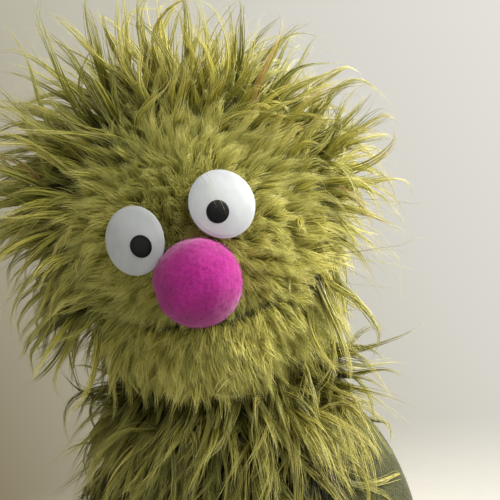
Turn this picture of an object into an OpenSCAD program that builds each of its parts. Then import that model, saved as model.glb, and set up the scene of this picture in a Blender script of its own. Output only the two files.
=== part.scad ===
// Furry hand puppet with a working mouth.
// Millimetres. +Z is up, the face looks along -Y, and +X is the viewer's right.
// The origin lies under the middle of the whole puppet, on the plane that the hem rests on.

/* [Head] */
// Outer radius of the foam head
head_r = 74; // [70:1:78]
// Wall thickness of the foam
foam_wall = 12; // [8:1:14]
// Height of the head's centre above the hem
head_z = 322; // [318:1:326]
// Radius that the long fur reaches from the head's centre
fur_reach_r = 138; // [120:1:145]
// Thickness of the clipped fur on the face and the chin
clipped_fur = 7.5; // [5:0.5:8]
// Half angle of the cone of clipped fur around the face
face_half_angle = 52; // [48:1:56]

/* [Mouth] */
// Height of the mouth hinge above the hem
hinge_z = 282; // [280:1:284]
// Distance of the hinge behind the head's centre
hinge_back = 16; // [14:1:18]
// Slope of the closed mouth, lower at the front, in degrees
mouth_tilt = 8; // [6:1:10]
// Radius of the mouth's smile, seen from the front
smile_r = 150; // [140:5:180]
// Radius of the mouth boards, seen from above
board_r = 55; // [50:1:55]
// Thickness of each mouth board
board_t = 2; // [1.5:0.1:2.2]
// Thickness of each mouth lining
lining_t = 1; // [0.8:0.1:1.2]
// Angle between the lower board and the underside of the jaw foam
jaw_wedge = 29; // [27:1:30]
// Angle that the jaw opens through
jaw_travel = 28; // [20:1:28]

/* [Eyes and nose] */
// Diameter of an eye disc
eye_d = 40; // [36:1:42]
// Height of the dome on an eye disc
eye_dome_h = 5; // [4:0.5:6]
// Diameter of a pupil
pupil_d = 13; // [11:0.5:14]
// Diameter of the felted nose
nose_d = 50; // [46:1:52]

/* [Neck and body] */
// Height of the neck's centre above the hem
neck_z = 190; // [186:1:191]
// Distance of the neck behind the head's centre
neck_back = 40; // [38:1:42]
// Inner radius of the innermost neck band
neck_r = 45; // [44:0.5:45]
// Thickness of one layer of neck fabric
band_t = 1.2; // [1:0.1:1.2]
// Thickness of the fleece
fleece_t = 2; // [1.5:0.1:2]
// Height of the hem band
hem_h = 14; // [10:1:18]
// Half width of the hem
hem_half_w = 104; // [98:1:108]
// Half depth of the hem
hem_half_d = 62; // [58:1:64]

/* [Hidden] */
$fn = 96;

reach = 200; // longer than any part of the head, for cutting boxes
gap = 0.3; // room left between pieces that only touch
head_y = (head_r + 24 + nose_d / 2 - fur_reach_r) / 2; // centres the nose tip and the back fur
neck_y = head_y + neck_back;
hinge_y = head_y + hinge_back;
neck_lean = 14; // the neck lining leans forward into the head
neck_hole_r = 40;
collar_half_h = 9; // the collar reaches this far above and below the neck's centre
band_step = band_t + 0.5; // from one nested neck band to the next

fur_green = [0.47, 0.46, 0.20];
face_green = [0.50, 0.49, 0.24];
fleece_green = [0.38, 0.39, 0.24];
foam_cream = [0.86, 0.82, 0.66];
mouth_black = [0.10, 0.09, 0.09];
board_grey = [0.35, 0.33, 0.30];
eye_white = [0.92, 0.93, 0.92];
pupil_black = [0.08, 0.08, 0.08];
nose_pink = [0.78, 0.16, 0.55];
elastic_black = [0.13, 0.13, 0.14];

// Eyes: [side of the face, across from the middle, up from the head's centre, turn, lift,
// the pupil's shift across, the pupil's shift up]. The two are set crooked on purpose.
left_eye = [-32, 5.5, -28, 4, 7, -3.5];
right_eye = [20, 17.5, 22, 12, -5.5, -4.5];
eye_seat_r = head_r + 10; // an eye's flat back lies this far from the head's centre
dome_r = (pow(eye_d / 2, 2) + pow(eye_dome_h, 2)) / (2 * eye_dome_h);
eye_rim_t = 1.8;
shank_r = 2.5;
shank_len = 28.5;
washer_r = 9;

nose_drop = head_z - 300; // the nose's centre lies this far below the head's centre
nose_out = head_r + 24;

// Fleece body, from the hem up: [height, half width, half depth, lift at the sides].
body_rows = [
    [hem_h, hem_half_w, hem_half_d, 0],
    [50, 112, 63, 0],
    [95, 114, 62.5, 1],
    [130, 106, 60.5, 4],
    [153, 94, 58.5, 9],
    [168, 81, 56.5, 10],
    [178, 66, 55.5, 5],
    [184, 54, 54, 0]];

// ---- Frames ----

module at_head() translate([0, head_y, head_z]) children();

module at_neck() translate([0, neck_y, neck_z]) children();

module at_hinge() translate([0, hinge_y, hinge_z]) rotate([mouth_tilt, 0, 0]) children();

// The eye's frame: z = 0 is its flat back, and +Z looks out of the face.
module at_eye(eye) at_head()
    translate([eye[0], -sqrt(pow(eye_seat_r, 2) - pow(eye[0], 2) - pow(eye[1], 2)), eye[1]])
        rotate([90 - eye[3], 0, eye[2]]) children();

// The nose's frame: the head's centre, with +Z towards the nose.
module at_nose_axis() at_head() rotate([90 + atan(nose_drop / nose_out), 0, 0]) children();

// ---- Cutting shapes ----

// Everything above the mouth's curved parting surface, raised by rise.
module above_mouth(rise) at_hinge() translate([0, 0, smile_r]) rotate([90, 0, 0])
    cylinder(r = smile_r - rise, h = 2 * reach, center = true);

// The room under the mouth and in front of the hinge, where the jaw swings.
module jaw_room(rise, half_w) difference() {
    at_hinge() translate([-half_w, -reach, -reach]) cube([2 * half_w, reach + 8, reach + 20]);
    above_mouth(rise);
}

// What lies above a plane through the hinge that falls away at an angle under the mouth.
module above_jaw_plane(angle, drop) translate([0, hinge_y, hinge_z])
    rotate([mouth_tilt + angle, 0, 0]) translate([-reach, -reach, -drop]) cube(2 * reach);

// One half of space: side is -1 for the left and 1 for the right.
module half_space(side) translate([side * reach, 0, head_z])
    cube([2 * reach, 4 * reach, 4 * reach], center = true);

module neck_passage(r) at_neck() rotate([neck_lean, 0, 0]) cylinder(r = r, h = 108);

module eye_holes(r) for (eye = [left_eye, right_eye])
    at_eye(eye) translate([0, 0, -40]) cylinder(r = r, h = 45, $fn = 48);

module nose_hole(r) at_nose_axis() cylinder(r = r, h = head_r + 10, $fn = 32);

// ---- Body ----

// A point of one of the body's rows, moved outwards and upwards by an offset [out, up].
function body_point(row, angle, offset) = [
    (row[1] + offset[0]) * cos(angle),
    neck_y + (row[2] + offset[0]) * sin(angle),
    row[0] + row[3] * pow(cos(angle), 2) + offset[1]];

// A wall that follows rows of the body over a range of angles. Each row has an offset for
// the wall's inner face and one for its outer face.
module body_wall(rows, from, to, inner_offsets, outer_offsets) {
    steps = (to - from) / 5;
    n = len(rows);
    w = steps + 1;
    outer = [for (i = [0:n - 1]) for (k = [0:steps])
        body_point(rows[i], from + 5 * k, outer_offsets[i])];
    inner = [for (i = [0:n - 1]) for (k = [0:steps])
        body_point(rows[i], from + 5 * k, inner_offsets[i])];
    m = n * w;
    skin = [for (i = [0:n - 2]) for (k = [0:steps - 1]) each [
        [i * w + k, (i + 1) * w + k, (i + 1) * w + k + 1],
        [i * w + k, (i + 1) * w + k + 1, i * w + k + 1],
        [m + i * w + k, m + (i + 1) * w + k + 1, m + (i + 1) * w + k],
        [m + i * w + k, m + i * w + k + 1, m + (i + 1) * w + k + 1]]];
    rims = [for (k = [0:steps - 1]) each [
        [k, k + 1, m + k + 1],
        [k, m + k + 1, m + k],
        [(n - 1) * w + k, m + (n - 1) * w + k + 1, (n - 1) * w + k + 1],
        [(n - 1) * w + k, m + (n - 1) * w + k, m + (n - 1) * w + k + 1]]];
    ends = [for (i = [0:n - 2]) each [
        [i * w, m + i * w, m + (i + 1) * w],
        [i * w, m + (i + 1) * w, (i + 1) * w],
        [i * w + steps, m + (i + 1) * w + steps, m + i * w + steps],
        [i * w + steps, (i + 1) * w + steps, m + (i + 1) * w + steps]]];
    polyhedron(points = concat(outer, inner), faces = concat(skin, rims, ends), convexity = 6);
}

// One fleece panel, sewn to the other at the sides.
module fleece_panel(from, to) {
    shoulder = len(body_rows) - 4;
    body_wall(body_rows, from, to,
        [for (i = [0:len(body_rows) - 1]) [-fleece_t, i < shoulder ? 0 : -fleece_t * 0.8]],
        [for (row = body_rows) [0, 0]]);
}

module fleece_front() color(fleece_green) fleece_panel(180, 360);

module fleece_back() color(fleece_green) fleece_panel(0, 180);

// The turned-up hem: an oval band with a flat lower edge.
module body_hem() color(fleece_green)
    linear_extrude(hem_h) difference() {
        hem_oval(0);
        hem_oval(-fleece_t - 1.2);
    }

module hem_oval(grow) polygon([for (k = [0:71])
    [(hem_half_w + grow) * cos(5 * k), neck_y + (hem_half_d + grow) * sin(5 * k)]]);

// A band of the neck: a strip of a ball around the neck's centre, open above and below.
module neck_band(order, z_low, z_high) {
    r = neck_r + order * band_step;
    at_neck() rotate_extrude($fn = 120) intersection() {
        difference() {
            circle(r = r + band_t);
            circle(r = r);
        }
        translate([1, z_low]) square([reach, z_high - z_low]);
    }
}

module collar_binding() color(fleece_green) neck_band(3, -collar_half_h, collar_half_h);

module lower_neck_band() color(fleece_green) neck_band(2, -collar_half_h, collar_half_h);

module upper_neck_band() color(fleece_green) neck_band(1, -collar_half_h, collar_half_h);

module head_neck_band() color(fleece_green) neck_band(0, -collar_half_h, 23);

// Fabric tube from the head's band into the foam, open in front where the jaw swings.
module neck_lining() color(fleece_green) intersection() {
    difference() {
        at_neck() rotate([neck_lean, 0, 0]) difference() {
            cylinder(r = neck_hole_r - gap, h = 84);
            translate([0, 0, -1]) cylinder(r = neck_hole_r - gap - band_t, h = 86);
        }
        at_neck() sphere(neck_r + band_t + 0.1);
        above_jaw_plane(jaw_wedge + jaw_travel, clipped_fur + 0.7);
    }
    at_neck() translate([-reach, -reach, 23.2]) cube(2 * reach);
}

// Long fur on the fleece body, from one of its rows up to its shoulders. depths holds the
// fur's reach [out, up] at each of those rows.
module body_fur(first, from, to, depths) {
    rows = [for (i = [0:len(depths) - 1]) body_rows[first + i]];
    body_wall(rows, from, to, [for (row = rows) [0.5, 0.5]], depths);
}

module chest_fur() color(fur_green)
    body_fur(2, 185, 355, [[5, 0], [15, 1], [14, 4], [10, 8], [5, 8]]);

module shoulder_fur() color(fur_green)
    body_fur(3, 5, 175, [[4, 0], [12, 4], [10, 8], [5, 8]]);

// Soft skin between the chin and the chest; it folds when the head or the jaw moves.
module throat_fur() color(fur_green) at_neck() translate([0, 0, 12])
    rotate([0, 0, -140]) rotate_extrude(angle = 100)
        translate([neck_r + 8, 0]) square([13, 32]);

// ---- Head ----

module head_foam_shell() difference() {
    at_head() sphere(head_r);
    at_head() sphere(head_r - foam_wall);
    jaw_room(lining_t + board_t + 1.3, 90);
    neck_passage(neck_hole_r);
    eye_holes(shank_r + 0.7);
    nose_hole(1.5);
}

module head_foam_left() color(foam_cream) intersection() {
    head_foam_shell();
    half_space(-1);
}

module head_foam_right() color(foam_cream) intersection() {
    head_foam_shell();
    half_space(1);
}

// The cone in front of the face.
module face_cone(extra) at_head() rotate([90, 0, 0])
    cylinder(r1 = 0, r2 = reach * tan(face_half_angle + extra), h = reach);

module face_fur() color(face_green) difference() {
    intersection() {
        at_head() sphere(head_r + gap + clipped_fur);
        face_cone(0);
    }
    at_head() sphere(head_r + gap);
    jaw_room(lining_t + 0.4, 90);
    at_nose_axis() translate([0, 0, norm([nose_out, nose_drop])]) sphere(nose_d / 2 + 0.4);
    eye_holes(shank_r + 0.7);
    nose_hole(1.5);
}

// All the long fur of the head, before it is parted into pieces.
module long_fur() difference() {
    at_head() sphere(fur_reach_r);
    at_head() sphere(head_r + gap);
    face_cone(0.3);
    jaw_room(0.4, head_r + 2);
    at_neck() cylinder(r = 60, h = 95);
    translate([-reach, -reach, -reach]) cube([2 * reach, 2 * reach, reach + 250]);
    at_head() translate([-reach, -reach - 88, -reach]) cube([2 * reach, reach, 2 * reach]);
}

module fur_part(low, high) intersection() {
    long_fur();
    at_head() translate(low) cube(high - low);
}

module crown_fur() color(fur_green)
    fur_part([-reach, -reach, 38], [reach, reach, reach]);

module left_side_fur() color(fur_green)
    fur_part([-reach, -reach, -reach], [-0.1, 34, 37.8]);

module right_side_fur() color(fur_green)
    fur_part([0.1, -reach, -reach], [reach, 34, 37.8]);

module back_fur() color(fur_green)
    fur_part([-reach, 34.2, -reach], [reach, reach, 37.8]);

// ---- Mouth ----

// A sheet of the mouth between two heights over its parting surface, in front of the hinge.
module mouth_sheet(low, high, r) intersection() {
    difference() {
        above_mouth(low);
        above_mouth(high);
    }
    at_hinge() intersection() {
        translate([0, -hinge_back, -30]) cylinder(r = r, h = 80);
        translate([-reach, -reach - 2, -30]) cube([2 * reach, reach, 80]);
    }
}

module upper_mouth_lining() color(mouth_black)
    mouth_sheet(lining_t, 2 * lining_t, board_r);

module upper_mouth_board() color(board_grey)
    mouth_sheet(2 * lining_t, 2 * lining_t + board_t, board_r);

module lower_mouth_lining() color(mouth_black)
    mouth_sheet(-2 * lining_t, -lining_t, board_r);

module lower_mouth_board() color(board_grey)
    mouth_sheet(-2 * lining_t - board_t, -2 * lining_t, board_r);

// Fabric tape glued round the back of the fold.
module hinge_tape() color(mouth_black) at_hinge() intersection() {
    rotate([0, 90, 0]) difference() {
        cylinder(r = 6.6, h = 76, center = true);
        cylinder(r = 5.6, h = 80, center = true);
    }
    translate([-50, 0.6, -10]) cube([100, 20, 20]);
}

// A strap of elastic bowed over a mouth board, where fingers or the thumb slide under it.
module strap_bow(r, centre_z, front, width) at_hinge()
    translate([0, front, centre_z]) rotate([90, 0, 0]) difference() {
        cylinder(r = r, h = width);
        translate([0, 0, -1]) cylinder(r = r - 1.3, h = width + 2);
    }

module finger_strap() color(elastic_black) intersection() {
    strap_bow(36, -10, -26, 20);
    above_mouth(2 * lining_t + board_t + 0.05);
}

module thumb_strap() color(elastic_black) difference() {
    strap_bow(20, 6, -40, 14);
    above_mouth(-2 * lining_t - board_t - 0.05);
}

jaw_r = 64; // radius of the jaw's ball
jaw_centre_z = 292;

module jaw_ball(grow) translate([0, head_y - 4, jaw_centre_z]) sphere(jaw_r + grow);

module jaw_foam() color(foam_cream) difference() {
    intersection() {
        jaw_ball(0);
        above_jaw_plane(jaw_wedge, 0);
        at_hinge() translate([-reach, -reach - 16, -reach]) cube([2 * reach, reach, 2 * reach]);
    }
    above_mouth(-2 * lining_t - board_t - 0.1);
    intersection() {
        jaw_ball(-9);
        above_jaw_plane(jaw_wedge, -6.5);
    }
}

module chin_fur() color(face_green) difference() {
    intersection() {
        jaw_ball(clipped_fur);
        above_jaw_plane(jaw_wedge, 6.3);
        at_hinge() translate([-reach, -reach - 24, -reach]) cube([2 * reach, reach, 2 * reach]);
    }
    above_mouth(-lining_t - 0.4);
    intersection() {
        jaw_ball(gap);
        above_jaw_plane(jaw_wedge, gap);
    }
}

// ---- Eyes and nose ----

module eye_dome(eye) color(eye_white) at_eye(eye) intersection() {
    cylinder(d = eye_d, h = 20);
    translate([0, 0, eye_rim_t + eye_dome_h - dome_r]) sphere(dome_r);
}

module eye_pupil(eye) color(pupil_black) at_eye(eye) intersection() {
    translate([eye[4], eye[5], 0]) cylinder(d = pupil_d, h = 20);
    translate([0, 0, eye_rim_t + eye_dome_h - dome_r]) difference() {
        sphere(dome_r + 0.6);
        sphere(dome_r);
    }
}

module eye_shank(eye) color(eye_white) at_eye(eye)
    translate([0, 0, -shank_len]) cylinder(r = shank_r, h = shank_len, $fn = 48);

module eye_washer(eye) color(eye_white) at_eye(eye)
    translate([0, 0, 1.6 - shank_len]) difference() {
        cylinder(r = washer_r, h = 1.6, $fn = 48);
        translate([0, 0, -1]) cylinder(r = shank_r, h = 4, $fn = 48);
    }

module left_eye_dome() eye_dome(left_eye);

module left_eye_pupil() eye_pupil(left_eye);

module left_eye_shank() eye_shank(left_eye);

module left_eye_washer() eye_washer(left_eye);

module right_eye_dome() eye_dome(right_eye);

module right_eye_pupil() eye_pupil(right_eye);

module right_eye_shank() eye_shank(right_eye);

module right_eye_washer() eye_washer(right_eye);

nose_dist = norm([nose_out, nose_drop]); // from the head's centre to the nose's

module nose_ball() color(nose_pink) at_nose_axis() translate([0, 0, nose_dist])
    sphere(d = nose_d);

module nose_thread() color(nose_pink) at_nose_axis() translate([0, 0, head_r - foam_wall - 1.6])
    cylinder(r = 0.9, h = nose_dist - nose_d / 2 - head_r + foam_wall + 1.5, $fn = 24);

module nose_button() color(eye_white) at_nose_axis() translate([0, 0, head_r - foam_wall - 4.2])
    cylinder(r = 6, h = 2.5, $fn = 48);

fleece_front();
fleece_back();
body_hem();
collar_binding();
chest_fur();
shoulder_fur();
lower_neck_band();
upper_neck_band();
head_neck_band();
neck_lining();
throat_fur();
head_foam_left();
head_foam_right();
face_fur();
crown_fur();
left_side_fur();
right_side_fur();
back_fur();
upper_mouth_board();
upper_mouth_lining();
hinge_tape();
finger_strap();
nose_ball();
nose_thread();
nose_button();
left_eye_dome();
left_eye_pupil();
left_eye_shank();
left_eye_washer();
right_eye_dome();
right_eye_pupil();
right_eye_shank();
right_eye_washer();
jaw_foam();
lower_mouth_board();
lower_mouth_lining();
thumb_strap();
chin_fur();
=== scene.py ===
import math

import bmesh
import bpy
import numpy as np
from mathutils import Matrix, Vector


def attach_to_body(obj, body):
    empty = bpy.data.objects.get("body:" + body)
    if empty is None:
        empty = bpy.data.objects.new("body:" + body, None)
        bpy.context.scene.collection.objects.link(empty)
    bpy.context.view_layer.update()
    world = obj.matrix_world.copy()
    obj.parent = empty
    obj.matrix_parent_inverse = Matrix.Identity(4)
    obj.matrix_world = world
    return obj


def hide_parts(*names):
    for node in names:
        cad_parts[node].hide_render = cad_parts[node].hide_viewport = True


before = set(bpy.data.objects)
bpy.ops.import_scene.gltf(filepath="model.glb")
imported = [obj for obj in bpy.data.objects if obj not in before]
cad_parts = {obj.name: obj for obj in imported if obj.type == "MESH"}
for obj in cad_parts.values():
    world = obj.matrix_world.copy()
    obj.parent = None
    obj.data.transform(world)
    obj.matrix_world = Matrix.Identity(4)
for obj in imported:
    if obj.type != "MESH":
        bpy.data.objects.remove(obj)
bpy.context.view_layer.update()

MM = 0.001
rng = np.random.default_rng(20)

# ---- Sizes, which repeat those of part.scad ----

HEAD = np.array((0.0, -7.5, 322.0)) * MM  # the head's centre
HINGE = np.array((0.0, 8.5, 282.0)) * MM  # the mouth's hinge
NECK = np.array((0.0, 32.5, 190.0)) * MM  # the centre of the nested neck bands
JAW = np.array((0.0, -11.5, 292.0)) * MM  # the centre of the jaw's ball
NOSE = np.array((0.0, -105.5, 300.0)) * MM
NOSE_R = 25 * MM
SKIN_R = 75.8 * MM  # the face of the pelt that the head's fur grows from
JAW_R = 64 * MM
JAW_SKIN_R = JAW_R + 1.5 * MM
FACE_ANGLE = math.radians(52)
CROWN_EDGE = 37.9 * MM  # over the head's centre
BACK_EDGE = 34.1 * MM  # behind it
LOWEST_SKIN = 250 * MM
NECK_HOLE_R = 60 * MM
NECK_HOLE_TOP = 285 * MM
MOUTH_TILT = math.radians(8)
SMILE_R = 150 * MM
BOARD_R = 55 * MM
BOARD_T = 2 * MM
LINING_T = 1 * MM
HINGE_BACK = 16 * MM
JAW_WEDGE = math.radians(29)
JAW_TRAVEL = math.radians(28)
NECK_R = 45 * MM
BAND_T = 1.2 * MM
BAND_STEP = 1.7 * MM
COLLAR_HALF_H = 9 * MM
NECK_LEAN = math.radians(14)
LINING_R = 39.7 * MM
HEM_HALF_W = 104 * MM
HEM_HALF_D = 62 * MM
EYE_R = 20 * MM
EYE_SEAT_R = 84 * MM
EYE_RIM_T = 1.8 * MM
EYE_DOME_H = 5 * MM

# Eyes: across from the middle, up from the head's centre, turn, lift, and the pupil's shift
# across and up.
EYES = {"left": (-32, 5.5, -28, 4, 7, -3.5), "right": (20, 17.5, 22, 12, -5.5, -4.5)}

# The fleece body from the hem up, a little outside the CAD's own rows: height, half width, half
# depth, lift at the sides.
BODY_ROWS = np.array([
    (12, 104, 62.5, 0),
    (50, 112.5, 63.5, 0),
    (95, 114.5, 63.5, 1),
    (130, 107, 61.5, 4),
    (153, 95.5, 59.5, 9),
    (168, 82.5, 57.5, 10),
    (178, 68, 56, 5),
    (185, 54, 54, 0)]) * MM

LEVEL = (1, 1, 0)
DOWN = np.array((0.0, 0.0, -1.0))
HANG = np.array((-0.16, 0.0, -0.98))  # the way that the head's fur hangs, a little to one side


# ---- Vectors ----

def unit(v):
    return v / np.maximum(np.linalg.norm(v, axis=-1, keepdims=True), 1e-9)


def dot(a, b):
    return (a * b).sum(axis=-1, keepdims=True)


def tangent(v, normal):
    """The part of v that lies along the surface with that normal, at length 1."""
    return unit(v - dot(v, normal) * normal)


def level(v):
    """The level part of v, at length 1."""
    return unit(v * LEVEL)


def on_ring(centre, r, angle, height):
    """Points of a ball of radius r, at heights over its centre."""
    across = np.sqrt(r ** 2 - height ** 2)
    return centre + np.stack([across * np.cos(angle), across * np.sin(angle), height], axis=-1)


def past_root(shape):
    """The same shaping, but each strand's root stays where it grows."""
    return lambda strands: np.concatenate([strands[:, :1], shape(strands[:, 1:])], axis=1)


def wave_field(seed, wavelength, count=7):
    """A smooth vector field made of a few sine waves, about 1 strong."""
    source = np.random.default_rng(seed)
    k = unit(source.normal(size=(count, 3))) * source.uniform(0.6, 1.6, (count, 1))
    k *= 2 * math.pi / wavelength
    phase = source.uniform(0, 2 * math.pi, (count, 3))
    return lambda p: np.sin((p @ k.T)[..., None] + phase).sum(axis=-2) / math.sqrt(count)


def even_directions(count):
    """Directions spread evenly over a ball."""
    i = np.arange(count) + 0.5
    z = 1 - 2 * i / count
    a = i * math.pi * (3 - math.sqrt(5))
    r = np.sqrt(1 - z * z)
    return np.stack([r * np.cos(a), r * np.sin(a), z], axis=1)


def jittered_directions(count, jitter):
    d = even_directions(count)
    return unit(d + rng.normal(size=d.shape) * jitter)


def smooth_rows(rows, t):
    """Values between rows along a smooth curve, for t from 0 to 1."""
    x = np.asarray(t) * (len(rows) - 1)
    i = np.clip(np.floor(x).astype(int), 0, len(rows) - 2)
    f = (x - i)[..., None]
    pad = np.vstack([2 * rows[0] - rows[1], rows, 2 * rows[-1] - rows[-2]])
    a, b, c, d = pad[i], pad[i + 1], pad[i + 2], pad[i + 3]
    return 0.5 * (2 * b + (c - a) * f + (2 * a - 5 * b + 4 * c - d) * f ** 2
                  + (3 * b - a - 3 * c + d) * f ** 3)


# ---- Frames and regions ----

def to_hinge(p):
    q = p - HINGE
    c, s = math.cos(MOUTH_TILT), math.sin(MOUTH_TILT)
    return np.stack([q[..., 0], c * q[..., 1] + s * q[..., 2], c * q[..., 2] - s * q[..., 1]], -1)


def from_hinge(q):
    c, s = math.cos(MOUTH_TILT), math.sin(MOUTH_TILT)
    return HINGE + np.stack(
        [q[..., 0], c * q[..., 1] - s * q[..., 2], s * q[..., 1] + c * q[..., 2]], -1)


def mouth_height(p):
    """Height over the mouth's curved parting surface."""
    q = to_hinge(p)
    return SMILE_R - np.hypot(q[..., 0], q[..., 2] - SMILE_R)


def plane_height(p, angle):
    """Height over a plane through the hinge that falls away at an angle under the mouth."""
    q = p - HINGE
    a = MOUTH_TILT + angle
    return math.cos(a) * q[..., 2] - math.sin(a) * q[..., 1]


def face_turn(p):
    """Angle at the head's centre between a point and straight ahead."""
    return np.arccos(np.clip(-unit(p - HEAD)[..., 1], -1, 1))


def on_face(p):
    return np.minimum((FACE_ANGLE - face_turn(p)) * SKIN_R, mouth_height(p) - 1.4 * MM)


def on_long_fur(p):
    q = to_hinge(p)
    jaw_room = np.minimum(8 * MM - q[..., 1], 0.4 * MM - mouth_height(p))
    neck = np.minimum(NECK_HOLE_R - np.hypot(p[..., 0], p[..., 1] - NECK[1]),
                      NECK_HOLE_TOP - p[..., 2])
    edge = (face_turn(p) - FACE_ANGLE) * SKIN_R
    return np.minimum.reduce([edge, -jaw_room, -neck, p[..., 2] - LOWEST_SKIN])


def beside(h, across):
    """The head's skin on one side of its middle, under the crown and in front of the back."""
    return np.minimum.reduce([across, BACK_EDGE - h[..., 1], CROWN_EDGE - h[..., 2]])


# Where each part of the long fur grows: positive there, for points from the head's centre.
LONG_PARTS = {
    "crown_fur": lambda h: h[..., 2] - CROWN_EDGE,
    "left_side_fur": lambda h: beside(h, -h[..., 0]),
    "right_side_fur": lambda h: beside(h, h[..., 0]),
    "back_fur": lambda h: np.minimum(h[..., 1] - BACK_EDGE, CROWN_EDGE - h[..., 2]),
}


def eye_frame(side):
    """The eye's centre on its flat back, and its across, up and outward directions."""
    x, up, turn, lift = EYES[side][:4]
    depth = math.sqrt((EYE_SEAT_R / MM) ** 2 - x ** 2 - up ** 2)
    centre = HEAD + np.array((x, -depth, up)) * MM
    spin = Matrix.Rotation(math.radians(turn), 3, "Z") @ Matrix.Rotation(
        math.radians(90 - lift), 3, "X")
    axes = np.array(spin)
    return centre, axes[:, 0], axes[:, 1], axes[:, 2]


EYE_FRAMES = {side: eye_frame(side) for side in EYES}


def covers_eye(paths, radius):
    """Which strands cross the front of an eye within a radius of its middle."""
    hit = np.zeros(len(paths), bool)
    for centre, across, up, out in EYE_FRAMES.values():
        q = paths - centre
        off_axis = np.hypot(q @ across, q @ up)
        hit |= ((off_axis < radius) & (q @ out > -1 * MM)).any(axis=1)
    return hit


def settle_on_head(p):
    return HEAD + unit(p - HEAD) * SKIN_R


JAW_MIDDLE = np.array((0.0, -45.0, 262.0)) * MM  # a point well inside the jaw


def jaw_surface(directions):
    """The jaw's skin seen from its middle: a ball whose underside is cut flat."""
    back = JAW_MIDDLE - JAW
    b = directions @ back
    ball = -b + np.sqrt(b * b - back @ back + JAW_SKIN_R ** 2)
    a = MOUTH_TILT + JAW_WEDGE
    under = np.array((0.0, math.sin(a), -math.cos(a)))
    room = plane_height(JAW_MIDDLE, JAW_WEDGE) + 1.3 * MM
    slope = directions @ under
    flat = np.where(slope > 0.05, room / np.maximum(slope, 0.05), 1.0)
    reach = np.minimum(ball, flat)
    points = JAW_MIDDLE + directions * reach[:, None]
    normals = np.where((flat < ball)[:, None], under, unit(points - JAW))
    return points, normals


def settle_on_jaw(p):
    return jaw_surface(unit(p - JAW_MIDDLE))[0]


def on_jaw(p):
    return np.minimum(-mouth_height(p) - 1.5 * MM, -24 * MM - to_hinge(p)[..., 1])


def body_point(t, angle, out=0.0):
    """A point of the fleece body, from the hem at t = 0 to the collar at t = 1."""
    z, w, d, lift = np.moveaxis(smooth_rows(BODY_ROWS, t), -1, 0)
    c, s = np.cos(angle), np.sin(angle)
    return np.stack([(w + out) * c, NECK[1] + (d + out) * s, z + lift * c * c], axis=-1)


def body_normal(t, angle):
    step = 1e-3
    along = body_point(np.clip(t + step, 0, 1), angle) - body_point(np.clip(t - step, 0, 1), angle)
    around = body_point(t, angle + step) - body_point(t, angle - step)
    return unit(np.cross(around, along))


def keep_off_body(p, clear):
    """Pushes points out of the fleece body."""
    q = p - NECK * (0, 1, 0)
    lift = 0.5 * np.interp(p[..., 2], BODY_ROWS[:, 0], BODY_ROWS[:, 3])
    z = p[..., 2] - lift * np.clip(np.abs(q[..., 0]) / 0.1, 0, 1) ** 2
    w = np.interp(z, BODY_ROWS[:, 0], BODY_ROWS[:, 1]) + clear
    d = np.interp(z, BODY_ROWS[:, 0], BODY_ROWS[:, 2]) + clear
    inside = np.hypot(q[..., 0] / w, q[..., 1] / d)
    push = np.where((inside < 1) & (z < BODY_ROWS[-1, 0]), 1 / np.maximum(inside, 0.3), 1.0)
    return np.stack([q[..., 0] * push, NECK[1] + q[..., 1] * push, p[..., 2]], axis=-1)


def keep_off_ball(p, centre, radius):
    q = p - centre
    d = np.linalg.norm(q, axis=-1, keepdims=True)
    return centre + q * np.maximum(d, radius) / np.maximum(d, 1e-6)


def soft_limit(value, limit, give):
    """Lets a value pass a limit by only a part of what it would."""
    return np.where(value > limit, limit + (value - limit) * give, value)


# ---- Meshes ----

def link(name, mesh, material):
    mesh.materials.clear()
    mesh.materials.append(material)
    piece = bpy.data.objects.new(name, mesh)
    bpy.context.scene.collection.objects.link(piece)
    return piece


def face_mesh(name, verts, faces, material):
    mesh = bpy.data.meshes.new(name)
    mesh.from_pydata(np.asarray(verts).tolist(), [], [list(map(int, f)) for f in faces])
    mesh.polygons.foreach_set("use_smooth", np.ones(len(mesh.polygons), bool))
    mesh.update()
    return link(name, mesh, material)


def grid_faces(rows, columns, closed=False):
    """Quads of a grid of points; closed joins the last column to the first."""
    faces = []
    for i in range(rows - 1):
        for j in range(columns if closed else columns - 1):
            k = (j + 1) % columns
            faces.append((i * columns + j, i * columns + k,
                          (i + 1) * columns + k, (i + 1) * columns + j))
    return faces


def grid_piece(name, points, material, closed=False, thickness=0.0):
    rows, columns = points.shape[:2]
    piece = face_mesh(name, points.reshape(-1, 3), grid_faces(rows, columns, closed), material)
    if thickness:
        thicken(piece, thickness)
    return piece


def thicken(piece, thickness):
    solid = piece.modifiers.new("thickness", "SOLIDIFY")
    solid.thickness = thickness
    solid.offset = -1
    return piece


def attach(piece, body, slot, *nodes):
    """Rides the piece on a body and lets it stand for CAD nodes."""
    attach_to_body(piece, body)
    if nodes:
        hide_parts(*nodes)
    return piece


def cloth(piece, body, slot, nodes=()):
    attach(piece, body, slot)
    if nodes:
        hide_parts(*nodes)
    return piece


def icosphere(divisions):
    """Corners and triangles of an even ball of radius 1."""
    bm = bmesh.new()
    bmesh.ops.create_icosphere(bm, subdivisions=divisions, radius=1)
    verts = np.array([v.co for v in bm.verts])
    faces = np.array([[v.index for v in f.verts] for f in bm.faces])
    bm.free()
    return verts, faces


def ball_skin(settle, centre, inside):
    """Triangles over a settled ball where inside is positive, with a clean edge."""
    verts, faces = icosphere(6)
    return trim(settle(centre + verts * 0.1), faces, settle, inside)


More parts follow.
